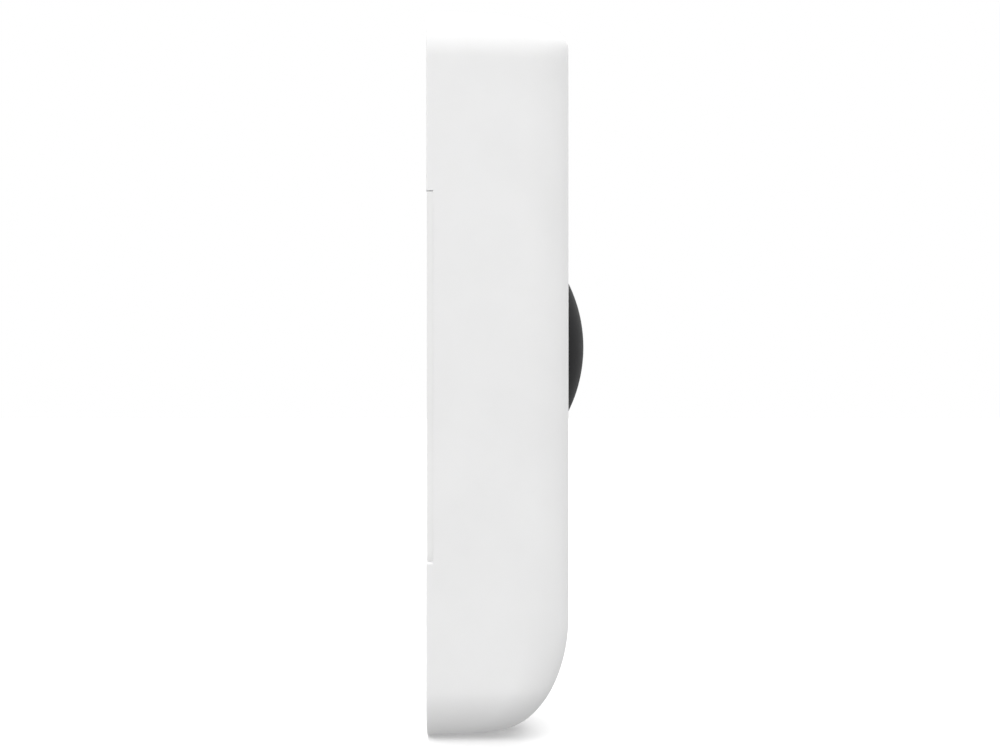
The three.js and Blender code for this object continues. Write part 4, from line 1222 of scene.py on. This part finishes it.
def build_main_board():
    board = panel(-15.2, 15.2, -42, 46.6, 2, *MAIN_BOARD)
    socket = cut(chip(0, -10.9, 8, 2.8, 11.6, 12.7), chip(0, -9.9, 6.4, 1.6, 11.9, 12.3))
    lamps = []
    for degrees in (90, 210, 330):
        x, z = around(9.4, degrees)
        lamp = chip(x, BUTTON_Z + z, 2, 1.6, 13.5, 14.4)
        lamps.append(cut(lamp, disc(x, BUTTON_Z + z, 0.55, 14.25, 15, 24)))
    holes = discs(BOARD_PLACES, 1, 10, 16, 32)
    holes.append(panel(-7, 7, CAMERA_Z - 7, CAMERA_Z + 7, 1, 10, 16))
    # plated holes in a row along the lower edge, for testing
    holes += discs([(-6 + 1.6 * k, -40.4) for k in range(8)], 0.35, 10, 16, 16)
    edged(joined(cut(board, *holes), socket, *lamps), "main_board", 0.05)
    build_board_details("main_board", MAIN_BOARD, MAIN_FRONT, MAIN_BACK, MAIN_ROWS)


def build_power_board():
    board = panel(-15.2, 15.2, -25.4, 9, 2, *POWER_BOARD)
    holes = discs(TERMINAL_PLACES, 1.9, 6, 11, 40) + discs([(-13.2, 7), (13.2, 7)], 0.8, 6, 11, 24)
    rows = []
    for f, w, h in ((5.9, 3.05, 2.35), (7, 3.2, 2.5), (8.1, 3.05, 2.35)):
        rows.append([(x, f, z) for x, z in rounded_rectangle(0.5 - w, 0.5 + w, -6.2 - h, -6.2 + h, 0.3, 4)])
    edged(joined(cut(board, *holes), lofted("rectifier", rows)), "power_board", 0.05)
    build_board_details("power_board", POWER_BOARD, [], POWER_BACK, POWER_ROWS, 0.9)


def build_can(node, z, width, height, top, pitch):
    """A drawn steel shield with a folded lid, dimples down its sides and dents in its top."""
    dimples = [chip(side * (width / 2 - 0.06), z + k * pitch, 0.2, 0.9, top + 0.6, 11.9)
               for side in (-1, 1) for k in (-2, -1, 0, 1, 2)]
    can = joined(sheet(0, z, width, height, 0.8, top, 12.55), *dimples)
    across, up = width * 0.28, height * 0.28
    places = [(x, z + pz) for x in (-across, 0, across) for pz in (-up, 0, up)]
    dents = discs(places, 0.45, top - 1, top + 0.12, 20)
    step = cut(sheet(0, z, width + 2, height + 2, 0.5, 12.2, 12.3),
               sheet(0, z, width - 0.3, height - 0.3, 0.7, 12, 13))
    edged(cut(can, step, *dents), node, 0.1)


def build_spreader():
    """A folded aluminium plate that carries heat from the main board's can to the rear wall."""
    outline = [(-13.4, 4.6), (-12.4, 4.6), (-12.4, 8.5), (-12.0, 8.9), (12.0, 8.9), (12.4, 8.5), (12.4, 4.6),
               (13.4, 4.6), (13.4, 9.2), (12.6, 10), (-12.6, 10), (-13.4, 9.2)]
    plate = lofted("spreader", [[(x, f, z) for x, f in outline] for z in (13, 33)])
    slots = [sheet(x, z, 4.6, 1.2, 0.55, 8, 11) for x in (-6.5, 0, 6.5) for z in (15.5, 30.5)]
    edged(cut(plate, *slots), "heat_spreader", 0.12)


def build_antenna():
    """A printed aerial with a meander cut into its edge, and the thin lead to the radio."""
    aerial = block((-16.2, -15.95), (10.8, 15.8), (-38, -16))
    gaps = []
    for k in range(8):
        depths = (10, 14.9) if k % 2 else (11.7, 17)
        gaps.append(block((-17, -15), depths, (-35.6 + 2.2 * k, -35.1 + 2.2 * k)))
    edged(cut(aerial, *gaps), "antenna", 0.03)
    route = [(-6.45, 11.4, -30), (-9, 11.2, -28.6), (-12, 11.2, -26), (-14.6, 11.8, -24.4), (-15.3, 12, -24)]
    dressed(smoothed(tube(smooth_path(route, 6), 0.5, 20), 50), "antenna_lead")


def tube(path, radius, sides):
    """A round bar along a path."""
    turns = [2 * math.pi * k / sides for k in range(sides)]
    rows = []
    for i, point in enumerate(path):
        ahead = Vector(path[min(i + 1, len(path) - 1)]) - Vector(path[max(i - 1, 0)])
        across = ahead.cross(Vector((0, 1, 0))).normalized()
        up = across.cross(ahead).normalized()
        rows.append([tuple(Vector(point) + across * (radius * math.cos(a)) + up * (radius * math.sin(a)))
                     for a in turns])
    return lofted("tube", rows)


def build_power_parts():
    contacts = [chip(-5 + 1.25 * k, -20.4, 0.6, 1.9, 9, 9.5) for k in range(9)]
    connector = cut(chip(0, -20.4, 12, 3.6, 9.05, 12.55), *contacts, chip(0, -20.4, 11, 0.5, 12.2, 13))
    edged(connector, "board_connector", 0.12)
    coil = cut(panel(4.8, 12, -0.6, 6.6, 1.4, 4.9, 7.95),
               turned("groove", [(2.3, 4.7), (2.6, 4.7), (2.6, 5.05), (2.3, 5.05)], 8.4, 3, 64))
    edged(coil, "power_inductor", 0.2)
    can = [(0, 4.7), (2.6, 4.7), (2.9, 4.8), (3, 5.0), (3, 7.2), (2.85, 7.3), (2.85, 7.5), (3, 7.6),
           (3, 7.95), (0, 7.95)]
    top = turned("can", eased_corners(can, 0.08, False), -9.4, -6.2, 64)
    cut(top, *[chip(-9.4, -6.2, w, h, 4, 4.8) for w, h in ((3.6, 0.25), (0.25, 3.6))])
    dressed(smoothed(top), "power_capacitor")
    body = joined(sheet(*RESET_PLACE, 4.4, 4.4, 0.4, 6.4, 7.95), disc(*RESET_PLACE, 1, 5.65, 6.5, 32))
    edged(body, "reset_switch", 0.1)


def build_supercapacitor():
    """A sleeved can lying across the top, crimped near one end over its rubber bung."""
    profile = [(0, -10), (3.1, -10), (3.4, -9.9), (3.7, -9.5), (3.7, 7), (3.45, 7.3), (3.45, 7.7), (3.7, 8),
               (3.7, 9.5), (3.4, 9.9), (2.6, 10), (2.5, 9.7), (0, 9.7)]
    can = turned("can", eased_corners(profile, 0.1, False), segments=72)
    for vertex in can.data.vertices:
        x, y, z = vertex.co
        vertex.co = (-y, x - 8.5 * MM, z + 42.2 * MM)
    dressed(smoothed(can), "supercapacitor")


def build_microphone():
    can = joined(sheet(0, MICROPHONE_Z, 3.56, 2.56, 0.35, 13.7, 14.7),
                 sheet(0, MICROPHONE_Z, 3.8, 2.8, 0.2, 13.65, 13.87))
    edged(cut(can, disc(0, MICROPHONE_Z, 0.35, 14.4, 15, 24)), "microphone", 0.06)


def build_nut():
    nut = block((-2.7, 2.7), (LOCK_DEPTH - 2.7, LOCK_DEPTH + 2.7), (-53.3, -51.3))
    bore = [(0, -56), (1.35, -56)] + shank(1.35, -55.5, -49.5, 0.5) + [(1.35, -49), (0, -49)]
    edged(cut(nut, turned("bore", bore, segments=48, middle_f=LOCK_DEPTH)), "security_nut", 0.15)


build_camera_inside()
build_ribbon()
build_switch()
build_speaker()
build_main_board()
build_power_board()
build_can("shield_can", 23, 15, 15, 10.9, 2.5)
build_can("radio_module", -33.6, 12, 14, 10.4, 3)
build_spreader()
build_antenna()
build_power_parts()
build_supercapacitor()
build_microphone()
build_nut()
